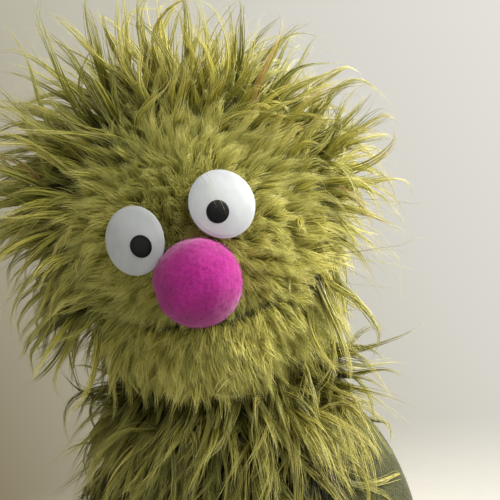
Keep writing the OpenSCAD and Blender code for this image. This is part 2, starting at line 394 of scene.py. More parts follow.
def trim(points, faces, settle, inside):
    """Keeps the faces that reach inside, and moves their outer corners to the edge."""
    kept = faces[(inside(points)[faces] > 0).any(axis=1)]
    step = 0.05 * MM
    for _ in range(6):
        depth = inside(points)
        grad = np.stack([(inside(points + step * e) - depth) / step for e in np.eye(3)], axis=1)
        move = grad * (-depth / np.maximum((grad ** 2).sum(1), 0.2))[:, None]
        moved = points + np.clip(move, -4 * MM, 4 * MM)
        points = settle(np.where((depth < 0)[:, None], moved, points))
    a, b, c = (points[kept[:, i]] for i in range(3))
    size = np.linalg.norm(np.cross(b - a, c - a), axis=1) / 2
    kept = kept[size > 2e-8]
    used, index = np.unique(kept, return_inverse=True)
    return points[used], index.reshape(kept.shape)


def tube_mesh(name, paths, radii, tones, material, sides=3):
    """One mesh of many closed tubes that end in a point. Its OFBake layer holds each tube's
    tone across and the way from root to tip upwards, and the materials paint from that."""
    n, k = paths.shape[:2]
    along = unit(np.gradient(paths, axis=1))
    aside = rng.normal(size=(n, 1, 3))
    aside = unit(aside - dot(aside, along[:, :1]) * along[:, :1])
    across = unit(np.cross(along, aside))
    up = np.cross(across, along)
    turn = 2 * math.pi * np.arange(sides)[:, None] / sides
    ring = across[:, :, None] * np.cos(turn) + up[:, :, None] * np.sin(turn)
    rings = paths[:, :-1, None] + ring[:, :-1] * radii[:, :-1, None, None]
    verts = np.concatenate([rings.reshape(n, -1, 3), paths[:, -1:]], axis=1)
    per = verts.shape[1]
    j = np.arange(sides)
    k1 = (j + 1) % sides
    start = (np.arange(k - 2) * sides)[:, None]
    quads = np.stack([start + j, start + sides + j, start + sides + k1, start + k1], -1)
    quads = quads.reshape(-1, 4)
    last = (k - 2) * sides
    tips = np.stack([last + j, np.full(sides, per - 1), last + k1], -1)
    base = (np.arange(n) * per)[:, None, None]
    all_quads = (quads[None] + base).reshape(-1)
    all_tips = (tips[None] + base).reshape(-1)
    roots = (j[None] + base[:, 0]).reshape(-1)
    loops = np.concatenate([all_quads, all_tips, roots]).astype(np.int32)
    sizes = np.concatenate([
        np.full(len(all_quads) // 4, 4), np.full(len(all_tips) // 3, 3), np.full(n, sides)])
    starts = np.concatenate([[0], np.cumsum(sizes)[:-1]]).astype(np.int32)
    mesh = bpy.data.meshes.new(name)
    mesh.vertices.add(n * per)
    mesh.vertices.foreach_set("co", verts.astype(np.float32).ravel())
    mesh.loops.add(len(loops))
    mesh.loops.foreach_set("vertex_index", loops)
    mesh.polygons.add(len(sizes))
    mesh.polygons.foreach_set("loop_start", starts)
    mesh.polygons.foreach_set("use_smooth", np.ones(len(sizes), bool))
    mesh.update(calc_edges=True)
    way = np.repeat(np.linspace(0.01, 0.99, k)[:-1], sides)
    shift = np.tile((j - (sides - 1) / 2) * 0.006, k - 1)
    u = np.concatenate([tones[:, None] + shift, tones[:, None]], axis=1)
    v = np.tile(np.append(way, 0.99), (n, 1))
    uv = np.stack([u, v], axis=-1).reshape(-1, 2)[loops]
    layer = mesh.uv_layers.new(name="OFBake")
    layer.data.foreach_set("uv", np.clip(uv, 0.001, 0.999).astype(np.float32).ravel())
    return link(name, mesh, material)


MOST_TRIANGLES = 185000
SIDE_REACH, SIDE_MOST, TOP_REACH = 143 * MM, 153 * MM, 474 * MM  # how far any fur may stand out


def fur_pieces(name, paths, root_radius, tones, material, body, slot):
    """Strands as pieces that each stay under the most triangles, in order across the part."""
    k = paths.shape[1]
    across = np.abs(paths[..., :1])
    held = np.minimum(soft_limit(across, SIDE_REACH, 0.3), SIDE_MOST) / np.maximum(across, 1e-6)
    top = soft_limit(paths[..., 2:], TOP_REACH, 0.3)
    paths = np.concatenate([paths[..., :1] * held, paths[..., 1:2], top], axis=-1)
    each = (k - 2) * 6 + 4
    count = math.ceil(len(paths) * each / MOST_TRIANGLES)
    way = np.linspace(0, 1, k)
    thin = 0.35 + 0.65 * np.sin(math.pi * np.clip(way * 0.8 + 0.25, 0, 1)) ** 0.7
    radii = root_radius[:, None] * thin * (1 - way ** 3)
    order = np.argsort(paths[:, 0, 0])
    pieces = []
    for i, chosen in enumerate(np.array_split(order, count)):
        label = f"{name}_{i + 1}" if count > 1 else name
        piece = tube_mesh(label, paths[chosen], radii[chosen], tones[chosen], material)
        pieces.append(attach(piece, body, slot))
    return pieces


# ---- Fur ----

curl = wave_field(3, 34 * MM)
fine_curl = wave_field(4, 13 * MM)
broad_curl = wave_field(6, 75 * MM)
tone_field = wave_field(5, 60 * MM)


def guide_paths(roots, headings, lengths, steps, droop, bend, own_arc=0.0, ripple=0.0):
    """The middle line of each lock. It droops and wanders more towards its tip, and curves
    with an arc and an S-shaped ripple of its own."""
    p, d = roots, headings
    path = [p]
    arc = rng.normal(size=p.shape) * own_arc
    swing = rng.normal(size=p.shape) * ripple
    phase = rng.random((len(p), 1)) * 2 * math.pi
    turns = rng.uniform(0.7, 1.5, (len(p), 1)) * 2 * math.pi
    for i in range(steps):
        s = (i + 1) / steps
        wander = broad_curl(p) * 0.55 + curl(p) * 0.45 + fine_curl(p) * 0.1
        d = unit(d + droop[:, None] * s * HANG + bend * s * wander + arc
                 + swing * np.sin(phase + turns * s))
        p = p + d * (lengths / steps)[:, None]
        path.append(p)
    return np.stack(path, axis=1)


def lock_strands(guides, normals, per_lock, spread, clump, frizz, shortest):
    """Strands that start apart around each guide and gather towards its tip."""
    g, k = guides.shape[:2]
    index = np.repeat(np.arange(g), per_lock)
    n = len(index)
    across = tangent(rng.normal(size=(g, 3)), normals)
    up = np.cross(normals, across)
    rho = spread * np.sqrt(rng.random((n, 1)))
    phi = rng.random((n, 1)) * 2 * math.pi
    offset = across[index] * rho * np.cos(phi) + up[index] * rho * np.sin(phi)
    s = np.linspace(0, 1, k)
    place = s * rng.uniform(shortest, 1.0, (n, 1)) * (k - 1)
    low = np.minimum(place.astype(int), k - 2)
    f = (place - low)[..., None]
    paths = guides[index[:, None], low] * (1 - f) + guides[index[:, None], low + 1] * f
    gather = 1 - (clump * rng.uniform(0.75, 1.1, (n, 1))) * s ** 0.75
    paths = paths + offset[:, None] * gather[..., None]
    sway = rng.normal(size=(n, 1, 3)) * frizz
    phase = rng.random((n, 1)) * 2 * math.pi
    turns = rng.uniform(0.5, 1.6, (n, 1)) * 2 * math.pi
    wave = (np.sin(s * turns + phase) - np.sin(phase)) * s
    paths = paths + sway * wave[..., None]
    paths[:, 0] -= normals[index] * 1.2 * MM
    return paths, index


def lock_tones(roots, index, spread, tan_share, middle=0.48, contrast=1.0):
    """A tone from 0 to 1 for every strand, raised towards the puppet's right as painted light from
    the lamps on that side; the few locks above 0.94 are tan.
    """
    varied = 0.14 * tone_field(roots)[:, 0] + rng.normal(size=len(roots)) * 0.17
    # The last term lightens the fur towards the puppet's right: painted light.
    own = middle + contrast * varied + 0.11 * np.clip(roots[:, 0] / SKIN_R, -1, 1)
    tone = np.clip(own[index] + rng.normal(size=len(index)) * spread, 0.02, 0.9)
    tan = rng.random(len(roots)) < tan_share
    return np.where(tan[index] & (rng.random(len(index)) < 0.6), 0.965, tone)


# ---- Materials ----

def linear(*srgb):
    """An sRGB colour, 0 to 255, as linear values with alpha."""
    c = [v / 255 for v in srgb]
    return tuple(v / 12.92 if v <= 0.04045 else ((v + 0.055) / 1.055) ** 2.4 for v in c) + (1.0,)


def grey(value):
    return (value, value, value, 1)


def stops(*places):
    """Stops of a colour ramp: a place and its sRGB colour, in turn."""
    return [(place, linear(*srgb)) for place, srgb in zip(places[::2], places[1::2])]


def new_material(name, roughness, specular=0.5, sheen=0.0):
    material = bpy.data.materials.new(name)
    material.use_nodes = True
    shader = material.node_tree.nodes["Principled BSDF"]
    shader.inputs["Roughness"].default_value = roughness
    shader.inputs["Specular IOR Level"].default_value = specular
    shader.inputs["Sheen Weight"].default_value = sheen
    return material, material.node_tree, shader


def add_node(tree, kind, inputs=(), **settings):
    """A new shader node. inputs gives, by an input's name or number, the socket to link to it
    or the value to set on it."""
    node = tree.nodes.new(f"ShaderNode{kind}")
    for name, value in settings.items():
        setattr(node, name, value)
    for name, value in dict(inputs).items():
        if isinstance(value, bpy.types.NodeSocket):
            tree.links.new(value, node.inputs[name])
        else:
            node.inputs[name].default_value = value
    return node


def ramp_node(tree, factor, places, smooth="LINEAR"):
    node = add_node(tree, "ValToRGB", {"Fac": factor})
    node.color_ramp.interpolation = smooth
    elements = node.color_ramp.elements
    while len(elements) < len(places):
        elements.new(0.5)
    for element, (place, colour) in zip(elements, places):
        element.position = place
        element.color = colour
    return node.outputs["Color"]


def mix_node(tree, blend, factor, a, b):
    """A mix of two colours, whose own inputs are numbers 0, 6 and 7 of the node."""
    return add_node(tree, "Mix", {0: factor, 6: a, 7: b}, data_type="RGBA",
                    blend_type=blend).outputs[2]


def noise_node(tree, scale, detail=4.0, stretch=(1, 1, 1)):
    place = add_node(tree, "TexCoord").outputs["Object"]
    place = add_node(tree, "Mapping", {"Vector": place, "Scale": stretch}).outputs["Vector"]
    return add_node(tree, "TexNoise", {"Vector": place, "Scale": scale, "Detail": detail,
                                       "Roughness": 0.55}).outputs["Fac"]


def bump(tree, shader, height, distance):
    node = add_node(tree, "Bump", {"Height": height, "Distance": distance, "Strength": 1.0})
    tree.links.new(node.outputs["Normal"], shader.inputs["Normal"])


def strand_material(name, length_stops, tan_stops, roughness, specular, sheen=0.0):
    """Paint for strands: dark roots to pale tips, a tone for each strand, and tan locks. The dark
    roots are partly painted shade deep in the fur, and the pale tips partly painted light through
    the fibres.
    """
    material, tree, shader = new_material(name, roughness, specular, sheen)
    uv = add_node(tree, "UVMap", uv_map="OFBake").outputs["UV"]
    split = add_node(tree, "SeparateXYZ", {"Vector": uv})
    tone, way = split.outputs["X"], split.outputs["Y"]
    green = ramp_node(tree, way, length_stops)
    tan = ramp_node(tree, way, tan_stops)
    # Brightness by the strand's tone: random, plus the painted light and shade that lock_tones and
    # its callers put into the tone.
    shade = ramp_node(tree, tone, [(0.0, (0.42, 0.46, 0.36, 1)), (0.45, (0.85, 0.86, 0.80, 1)),
                                   (0.90, (1.25, 1.20, 1.25, 1))])
    is_tan = ramp_node(tree, tone, [(0.0, grey(0)), (0.93, grey(1))], "CONSTANT")
    shaded = mix_node(tree, "MULTIPLY", 1.0, green, shade)
    tree.links.new(mix_node(tree, "MIX", is_tan, shaded, tan), shader.inputs["Base Color"])
    return material


def mottled_material(name, dark, light, scale, roughness, specular=0.4, sheen=0.0,
                     bump_distance=0.0002, stretch=(1, 1, 1), detail=5.0, contrast=(0.35, 0.65),
                     cloudy=0.20):
    """Matter with a grain: a fine noise and a broad one colour it, and the fine one raises it."""
    material, tree, shader = new_material(name, roughness, specular, sheen)
    fine = noise_node(tree, scale, detail, stretch)
    broad = noise_node(tree, scale / 14, 3.0, stretch)
    grain = ramp_node(tree, fine, [(contrast[0], linear(*dark)), (contrast[1], linear(*light))])
    cloud = ramp_node(tree, broad, [(0.3, grey(1 - cloudy)), (0.7, grey(1 + 0.4 * cloudy))])
    tree.links.new(mix_node(tree, "MULTIPLY", 1.0, grain, cloud), shader.inputs["Base Color"])
    bump(tree, shader, fine, bump_distance)
    return material


def weave_material(name, dark, light, pitch, roughness):
    """Narrow fabric whose threads cross at a pitch in metres."""
    material, tree, shader = new_material(name, roughness, 0.3, 0.15)
    place = add_node(tree, "TexCoord").outputs["Object"]
    waves = [add_node(tree, "TexWave", {"Vector": place, "Scale": 0.31 / pitch,
                                        "Distortion": 0.6}, bands_direction=way).outputs["Fac"]
             for way in "XY"]
    both = add_node(tree, "Math", {0: waves[0], 1: waves[1]}, operation="MULTIPLY").outputs[0]
    colour = ramp_node(tree, both, stops(0.1, dark, 0.8, light))
    tree.links.new(colour, shader.inputs["Base Color"])
    bump(tree, shader, both, 0.2 * MM)
    return material


# Root-to-tip ramps: the fibres' own colour, with the dark roots partly painted shade deep in the
# fur and the pale tips partly painted light through them.
GREEN = stops(0.0, (34, 32, 8), 0.20, (92, 90, 26), 0.52, (180, 176, 70), 0.85, (220, 212, 124),
              1.0, (242, 236, 196))
# A darker copy of GREEN for the fur under the head, on the throat, neck and body: painted shade of
# the head over it.
SHADED_GREEN = stops(0.0, (18, 17, 5), 0.26, (56, 54, 15), 0.56, (134, 130, 46),
                     0.88, (208, 201, 108), 1.0, (238, 231, 180))
TAN = stops(0.0, (100, 78, 28), 0.4, (190, 152, 76), 1.0, (232, 212, 148))
SOFT_GREEN = stops(0.0, (118, 116, 44), 0.3, (172, 169, 74), 0.7, (208, 204, 106),
                   1.0, (230, 226, 150))
PINK = stops(0.0, (154, 24, 118), 0.5, (168, 34, 130), 1.0, (180, 52, 146))
SAGE = stops(0.0, (54, 54, 24), 1.0, (106, 106, 62))

fur_paint = strand_material("long_fur_fibre", GREEN, TAN, 0.42, 0.5)
# The darker strand paint: painted shade of the head over the throat, neck and body fur.
shaded_fur_paint = strand_material("shaded_fur_fibre", SHADED_GREEN, TAN, 0.42, 0.45)
face_paint = strand_material("clipped_fur_fibre", SOFT_GREEN, TAN, 0.5, 0.4)
wool_paint = strand_material("nose_wool_fibre", PINK, PINK, 0.85, 0.2, 0.3)
fuzz_paint = strand_material("fleece_fuzz_fibre", SAGE, SAGE, 0.9, 0.2, 0.2)

# Name, dark, light, scale of the grain, roughness, specular, sheen, height of the grain, stretch.
# The backing's dark olive is partly its own colour and partly painted shade deep under the fur.
pelt_paint = mottled_material(
    "pelt_backing", (44, 41, 14), (84, 80, 32), 900, 0.95, 0.2, 0.2, 0.0006)
fleece_paint = mottled_material(
    "sage_fleece", (50, 51, 24), (86, 87, 48), 700, 0.97, 0.12, 0.18, 0.0012, detail=3.0,
    contrast=(0.34, 0.68))
# The jersey's dark olive is partly its own colour and partly painted shade of the fur that hangs
# over it.
band_paint = mottled_material(
    "neck_jersey", (46, 45, 18), (82, 80, 38), 1100, 0.92, 0.2, 0.25, 0.0003, (1, 1, 2.5))
felt_paint = mottled_material(
    "mouth_felt", (14, 13, 13), (38, 35, 35), 1500, 0.97, 0.15, 0.3, 0.0003, (1, 1, 0.4))
nose_paint = mottled_material(
    "nose_felt_core", (152, 24, 116), (172, 38, 134), 750, 0.95, 0.1, 0.3, 0.0001, (1, 1, 1.4))
foam_paint = mottled_material(
    "cream_foam", (196, 178, 128), (234, 222, 182), 900, 0.9, 0.2, 0.0, 0.0007, detail=2.0,
    contrast=(0.42, 0.52))
board_paint = mottled_material(
    "grey_board", (84, 80, 72), (128, 122, 110), 1400, 0.85, 0.3, 0.0, 0.0001, (1, 0.25, 1))
eye_paint = mottled_material(
    "eye_white_plastic", (180, 184, 186), (191, 195, 197), 90, 0.38, 0.25, 0.0, 0.00002)
pupil_paint = mottled_material(
    "pupil_black_plastic", (6, 6, 6), (14, 14, 14), 240, 0.42, 0.18, 0.0, 0.00002)
washer_paint = mottled_material(
    "washer_plastic", (206, 208, 204), (232, 233, 230), 300, 0.45, 0.5, 0.0, 0.00005)
thread_paint = mottled_material(
    "sewing_thread", (92, 92, 46), (134, 134, 78), 2600, 0.7, 0.35, 0.2, 0.0001, (1, 1, 3))
pink_thread_paint = mottled_material(
    "nose_thread", (150, 30, 104), (214, 84, 168), 2600, 0.7, 0.35, 0.2, 0.0001)
elastic_paint = weave_material("black_elastic", (16, 16, 18), (52, 52, 56), 0.0011, 0.8)
tape_paint = weave_material("cotton_tape", (18, 17, 17), (48, 46, 44), 0.0008, 0.9)


# ---- Head fur ----

def away_from_features(p, normal, eye_pull):
    """Combs fur along the surface, away from the nose and round the eyes, and down the back."""
    flow = unit(p - NOSE)
    back = np.clip((face_turn(p) - 1.6) / 0.9, 0, 1)[:, None]
    flow = flow * (1 - back) + back * DOWN
    for centre, *_ in EYE_FRAMES.values():
        q = p - centre
        near = np.clip(1 - (np.linalg.norm(q, axis=-1, keepdims=True) - EYE_R) / (22 * MM), 0, 1)
        flow = flow + unit(q) * near * eye_pull
    return tangent(flow, normal)


def comb_sideways(p, high):
    """The crown parts left of its middle, and the fur on both sides of the parting falls away."""
    way = np.tanh((p[:, 0] + 26 * MM) / (22 * MM)) * np.clip(high * 1.8, 0, 1)
    return np.stack([way * np.where(way < 0, 0.95, 0.5), 0 * way, -0.3 * np.abs(way)], axis=-1)


def sweep(p):
    """How far a point lies to the upper left of the head, where the locks are longest."""
    out = unit(p - HEAD)
    return np.clip(-2.2 * out[..., 0] * out[..., 2], 0, 1) * (out[..., 2] > 0)


def right_cheek(p, high):
    """How far a root lies on the right cheek, where the fur hangs close to the head."""
    return np.clip(p[:, 0] / SKIN_R * 1.5, 0, 1) * np.clip((0.12 - high) / 0.3, 0, 1)


HEAD_REACH, TOP_EXTRA, SWEEP_EXTRA, FRONT_REACH = 134, 11, 30, 84  # how far fur stands out, in mm


def shape_head_strands(paths):
    """Keeps strands off the head, the nose and the body, and inside the fur's reach."""
    paths = keep_off_ball(paths, HEAD, SKIN_R + 0.5 * MM)
    paths = keep_off_ball(paths, NOSE, NOSE_R + 0.3 * MM)
    q = paths - HEAD
    d = np.linalg.norm(q, axis=-1, keepdims=True)
    high = np.clip(q[..., 2:] / np.maximum(d, 1e-6), 0, 1)
    reach = HEAD_REACH + TOP_EXTRA * np.sqrt(high) + SWEEP_EXTRA * sweep(paths)[..., None]
    q = q * soft_limit(d, reach * MM, 0.4) / np.maximum(d, 1e-6)
    ahead = soft_limit(-q[..., 1], FRONT_REACH * MM, 0.25)
    q = np.stack([q[..., 0], -ahead, q[..., 2]], axis=-1)
    return keep_off_body(q + HEAD, 3 * MM)


def head_roots(count, jitter, edge):
    normals = jittered_directions(count, jitter)
    roots = HEAD + normals * SKIN_R
    keep = on_long_fur(roots) > edge
    roots, normals = roots[keep], normals[keep]
    turn = np.degrees(face_turn(roots))
    return roots, normals, turn, np.clip((roots[:, 2] - HEAD[2]) / SKIN_R, -1, 1)


def turned(flow, normals, sway):
    """The flow turned along the surface."""
    return unit(flow + np.cross(normals, flow) * sway[:, None])


def raised(flow, normals, lift):
    """The flow raised from the surface by an angle."""
    return normals * np.sin(lift)[:, None] + flow * np.cos(lift)[:, None]


LONG_THICK = (0.22, 0.54)  # the radii of the long strands at their thickest, in mm
LONG_LOCK = dict(spread=4.2 * MM, clump=0.92, frizz=1.1 * MM, shortest=0.5)
HANGING_LOCK = LONG_LOCK | dict(frizz=1.2 * MM)
# Tone of the fur under the head, set darker: painted shade of the head over it.
SHADED_FUR_TONE = dict(spread=0.08, tan_share=0.004, middle=0.42)  # of fur under the head


def grow(roots, normals, headings, lengths, guide, per_lock, lock, shape, eye_clear=0.0):
    """Strands from every root, and the lock that each belongs to. guide and lock hold the
    rest of what guide_paths and lock_strands take. None is left that crosses an eye."""
    guides = guide_paths(roots, headings, lengths, **guide)
    strands, index = lock_strands(guides, normals, per_lock, **lock)
    strands = shape(strands)
    if eye_clear:
        keep = ~covers_eye(strands, eye_clear)
        strands, index = strands[keep], index[keep]
    return strands, index


def coat(name, strands, index, roots, tone, thick, paint, body, slot="long_fur"):
    """The pieces of one CAD piece's fur. tone holds the rest of what lock_tones takes."""
    tones = lock_tones(roots, index, **tone)
    return fur_pieces(name, strands, rng.uniform(*thick, len(index)) * MM, tones, paint, body, slot)


def part_coats(label, strands, index, roots, tone, thick, paint):
    """Parts the head's strands by where their locks grow, into the CAD's pieces."""
    tones = lock_tones(roots, index, **tone)
    radii = rng.uniform(*thick, len(index)) * MM
    part_of = np.stack([test(roots - HEAD) for test in LONG_PARTS.values()]).argmax(axis=0)
    made = {}
    for number, name in enumerate(LONG_PARTS):
        mine = part_of[index] == number
        made[name] = fur_pieces(f"{name}_{label}", strands[mine], radii[mine], tones[mine],
                                paint, "head", "long_fur") if mine.any() else []
    return made


def long_fur():
    """The long locks of the head: wavy, each with its own curve, and hanging at the sides."""
    roots, normals, turn, high = head_roots(1900, 0.022, -2 * MM)
    n = len(roots)
    above, below = np.clip(high, 0, 1), np.clip(-high, 0, 1)
    cheek = right_cheek(roots, high)
    lift = np.interp(turn, (50, 62, 80, 100, 130, 180), (44, 54, 62, 56, 40, 30))
    lift = lift + 10 * above - 16 * below - 26 * cheek
    lift = np.radians(np.clip(lift + rng.normal(size=n) * 9 + 6 * curl(roots)[:, 2], 12, 84))
    flow = away_from_features(roots, normals, 0.6)
    pull = 0.9 * np.clip(0.25 - high, 0, 1) + 1.6 * cheek
    flow = tangent(flow + HANG * pull[:, None] + comb_sideways(roots, high), normals)
    sway = rng.normal(size=n) * 0.24 + broad_curl(roots)[:, 0] * 0.6 + curl(roots)[:, 0] * 0.28
    headings = unit(raised(turned(flow, normals, sway), normals, lift))
    length = np.interp(turn, (50, 57, 66, 80, 120, 180), (26, 50, 76, 92, 88, 84)) * MM
    length *= rng.uniform(0.62, 1.16, n) * (1 + 0.10 * above)
    length *= 1 + 0.25 * np.clip((turn - 90) / 60, 0, 1) * below
    length *= (1 - 0.26 * cheek) * (1 + 0.34 * sweep(roots))
    droop = np.interp(high, (-1, -0.2, 0.4, 0.8, 1), (0.34, 0.27, 0.17, 0.07, 0.04))
    droop = droop * rng.uniform(0.4, 1.6, n) + 0.28 * cheek
    guide = dict(steps=10, droop=droop, bend=0.27, own_arc=0.06, ripple=0.14)
    grown = grow(roots, normals, headings, length, guide, 15, LONG_LOCK, shape_head_strands,
                 eye_clear=19.5 * MM)
    tone = dict(spread=0.07, tan_share=0.035)
    return part_coats("locks", *grown, roots, tone, LONG_THICK, fur_paint)


def side_locks():
    """Locks that hang from the lower sides and the back of the head, over the neck."""
    n = 660
    angle = np.radians(rng.uniform(-24, 204, n))
    roots = on_ring(HEAD, SKIN_R, angle, rng.uniform(-70, -22, n) * MM)
    roots = roots[on_long_fur(roots) > -1 * MM]
    n = len(roots)
    normals = unit(roots - HEAD)
    right = np.clip(roots[:, :1] / SKIN_R * 1.6, 0, 1)
    headings = unit(level(normals) * rng.uniform(0.5, 1.3, (n, 1)) * (1 - 0.35 * right)
                    + HANG * (0.8 + 0.5 * right) + rng.normal(size=(n, 3)) * 0.22)
    length = rng.uniform(70, 112, n) * MM
    guide = dict(steps=9, droop=rng.uniform(0.08, 0.3, n), bend=0.24, own_arc=0.06, ripple=0.17)
    grown = grow(roots, normals, headings, length, guide, 15, HANGING_LOCK, shape_head_strands)
    tone = dict(spread=0.07, tan_share=0.02)
    return part_coats("hanging", *grown, roots, tone, LONG_THICK, fur_paint)


def undercoat():
    """The shorter, softer fur between the long locks."""
    roots, normals, turn, _ = head_roots(2700, 0.02, -1 * MM)
    n = len(roots)
    flow = away_from_features(roots, normals, 0.6)
    lift = np.radians(np.clip(46 + rng.normal(size=n) * 13, 12, 80))
    headings = unit(raised(flow, normals, lift) + rng.normal(size=(n, 3)) * 0.22)
    length = np.interp(turn, (50, 60, 80, 180), (20, 30, 38, 36)) * MM * rng.uniform(0.7, 1.2, n)
    guide = dict(steps=5, droop=np.full(n, 0.14), bend=0.32, own_arc=0.08)
    lock = dict(spread=4.0 * MM, clump=0.78, frizz=1.0 * MM, shortest=0.6)
    grown = grow(roots, normals, headings, length, guide, 10, lock, shape_head_strands,
                 eye_clear=19.0 * MM)
    tone = dict(spread=0.06, tan_share=0.0)
    return part_coats("undercoat", *grown, roots, tone, (0.19, 0.36), face_paint)


def loose_hairs():
    """Single hairs that fly out past the locks."""
    normals = jittered_directions(1300, 0.04)
    roots = HEAD + normals * SKIN_R
    keep = (on_long_fur(roots) > 0) & (face_turn(roots) > math.radians(60))
    roots, normals = roots[keep], normals[keep]
    n = len(roots)
    flow = away_from_features(roots, normals, 0.3)
    headings = raised(flow, normals, np.radians(rng.uniform(45, 80, n)))
    headings = unit(headings + rng.normal(size=(n, 3)) * 0.2)
    lengths = rng.uniform(70, 104, n) * MM
    paths = guide_paths(roots, headings, lengths, steps=12, droop=rng.uniform(0.02, 0.26, n),
                        bend=0.34, own_arc=0.09)
    tones = rng.uniform(0.45, 0.9, n)
    return fur_pieces("loose_hairs", shape_head_strands(paths), rng.uniform(0.11, 0.19, n) * MM,
                      tones, fur_paint, "head", "long_fur")


def whorl(p):
    """How near a point is to the spot over the left eye where the pile parts."""
    spot = HEAD + unit(np.array((-0.27, -0.78, 0.56))) * SKIN_R
    return np.exp(-(np.linalg.norm(p - spot, axis=-1) / (19 * MM)) ** 2)


def face_fur():
    """The short tufts of the face, combed away from the nose and round the eyes."""
    normals = jittered_directions(5400, 0.014)
    roots = HEAD + normals * SKIN_R
    off_nose = np.linalg.norm(np.cross(roots - HEAD, unit(NOSE - HEAD)), axis=1)
    front = (roots - HEAD) @ (NOSE - HEAD) > 0
    keep = (on_face(roots) > -5 * MM) & (mouth_height(roots) > 1.8 * MM)
    keep &= ~((off_nose < 13 * MM) & front)
    roots, normals = roots[keep], normals[keep]
    n = len(roots)
    flow = away_from_features(roots, normals, 0.9)
    sway = rng.normal(size=n) * 0.22 + fine_curl(roots)[:, 1] * 0.42 + curl(roots)[:, 0] * 0.3
    sway = sway + rng.normal(size=n) * 1.1 * whorl(roots)
    lift = np.radians(np.clip(40 + rng.normal(size=n) * 7 + 12 * curl(roots)[:, 2], 14, 72))
    headings = unit(raised(turned(flow, normals, sway), normals, lift))
    turn = np.degrees(face_turn(roots))
    length = np.interp(turn, (0, 25, 42, 56), (12, 15, 20, 32)) * MM * rng.uniform(0.75, 1.15, n)
    over_lip = np.interp(mouth_height(roots), (0.002, 0.016), (0.55, 1.0))
    under_eye = np.min([np.linalg.norm(roots - c, axis=1) for c, *_ in EYE_FRAMES.values()], 0)
    length *= over_lip * np.interp(under_eye, (18 * MM, 30 * MM), (0.55, 1.0))
    guide = dict(steps=5, droop=np.full(n, 0.12), bend=0.36, own_arc=0.06)
    lock = dict(spread=3.6 * MM, clump=0.45, frizz=0.7 * MM, shortest=0.65)
    grown = grow(roots, normals, headings, length, guide, 24, lock,
                 lambda p: keep_off_ball(p, NOSE, NOSE_R - 0.4 * MM), eye_clear=18.2 * MM)
    # Tufts at the parting over the left eye are set darker: painted shade in the parting.
    tone = dict(spread=0.06, tan_share=0.0, middle=0.62 - 0.34 * whorl(roots), contrast=0.7)
    return coat("face_fur_tufts", *grown, roots, tone, (0.11, 0.20), face_paint, "head",
                "clipped_fur")


def shape_chin_strands(strands):
    """Keeps the chin's strands off the nose and under the mouth."""
    strands = keep_off_ball(strands, NOSE, NOSE_R)
    return strands + DOWN * np.maximum(mouth_height(strands) + 0.6 * MM, 0)[..., None]


def chin_fur():
    """The tufts of the chin and the lower lip, which move with the jaw."""
    roots, normals = jaw_surface(jittered_directions(3300, 0.014))
    under = normals[:, 2] < -0.75
    keep = (on_jaw(roots) > 0) & (plane_height(roots, JAW_WEDGE) > -1.6 * MM)
    keep &= ~(under & (to_hinge(roots)[:, 1] > -40 * MM))
    roots, normals, under = roots[keep], normals[keep], under[keep]
    n = len(roots)
    flow = tangent(unit(roots - NOSE) + HANG * 0.7, normals)
    flow = turned(flow, normals, rng.normal(size=n) * 0.24 + fine_curl(roots)[:, 1] * 0.4)
    lift = np.radians(np.clip(38 + rng.normal(size=n) * 12, 12, 70))
    headings = unit(raised(flow, normals, lift))
    low = np.clip(-mouth_height(roots) / (34 * MM), 0, 1)
    aside = np.clip((np.abs(roots[:, 0]) - 38 * MM) / (24 * MM), 0, 1)
    length = (14 + 30 * low ** 1.5 + 44 * aside * low ** 0.5) * MM * rng.uniform(0.65, 1.2, n)
    length = np.where(under, 9 * MM, length)
    guide = dict(steps=6, droop=0.14 + 0.16 * low, bend=0.3, own_arc=0.07, ripple=0.18)
    lock = dict(spread=3.6 * MM, clump=0.62, frizz=0.9 * MM, shortest=0.6)
    grown = grow(roots, normals, headings, length, guide, 13, lock, shape_chin_strands)
    tone = dict(spread=0.06, tan_share=0.0, middle=0.6)
    return coat("chin_fur_tufts", *grown, roots, tone, (0.15, 0.29), face_paint, "jaw",
                "clipped_fur")


def throat_point(angle, height):
    """A point of the throat's skin, in front of the neck."""
    r = 57 * MM
    return np.stack([NECK[0] + r * np.sin(angle), NECK[1] - r * np.cos(angle),
                     np.zeros_like(angle) + height], axis=-1)


def throat_fur():
    """The beard: long locks under the chin that hang over the chest."""
    n = 380
    angle = np.radians(rng.uniform(-82, 78, n))
    roots = throat_point(angle, rng.uniform(206, 234, n) * MM)
    normals = level(roots - NECK)
    headings = unit(normals * rng.uniform(0.4, 1.1, (n, 1)) + HANG * 0.6
                    + rng.normal(size=(n, 3)) * 0.17)
    length = rng.uniform(60, 108, n) * MM
    guide = dict(steps=10, droop=rng.uniform(0.1, 0.3, n), bend=0.22, own_arc=0.06, ripple=0.2)
    grown = grow(roots, normals, headings, length, guide, 15, LONG_LOCK,
                 lambda p: keep_off_body(p, 5 * MM))
    return coat("throat_fur_locks", *grown, roots, SHADED_FUR_TONE, LONG_THICK, shaded_fur_paint, "head")


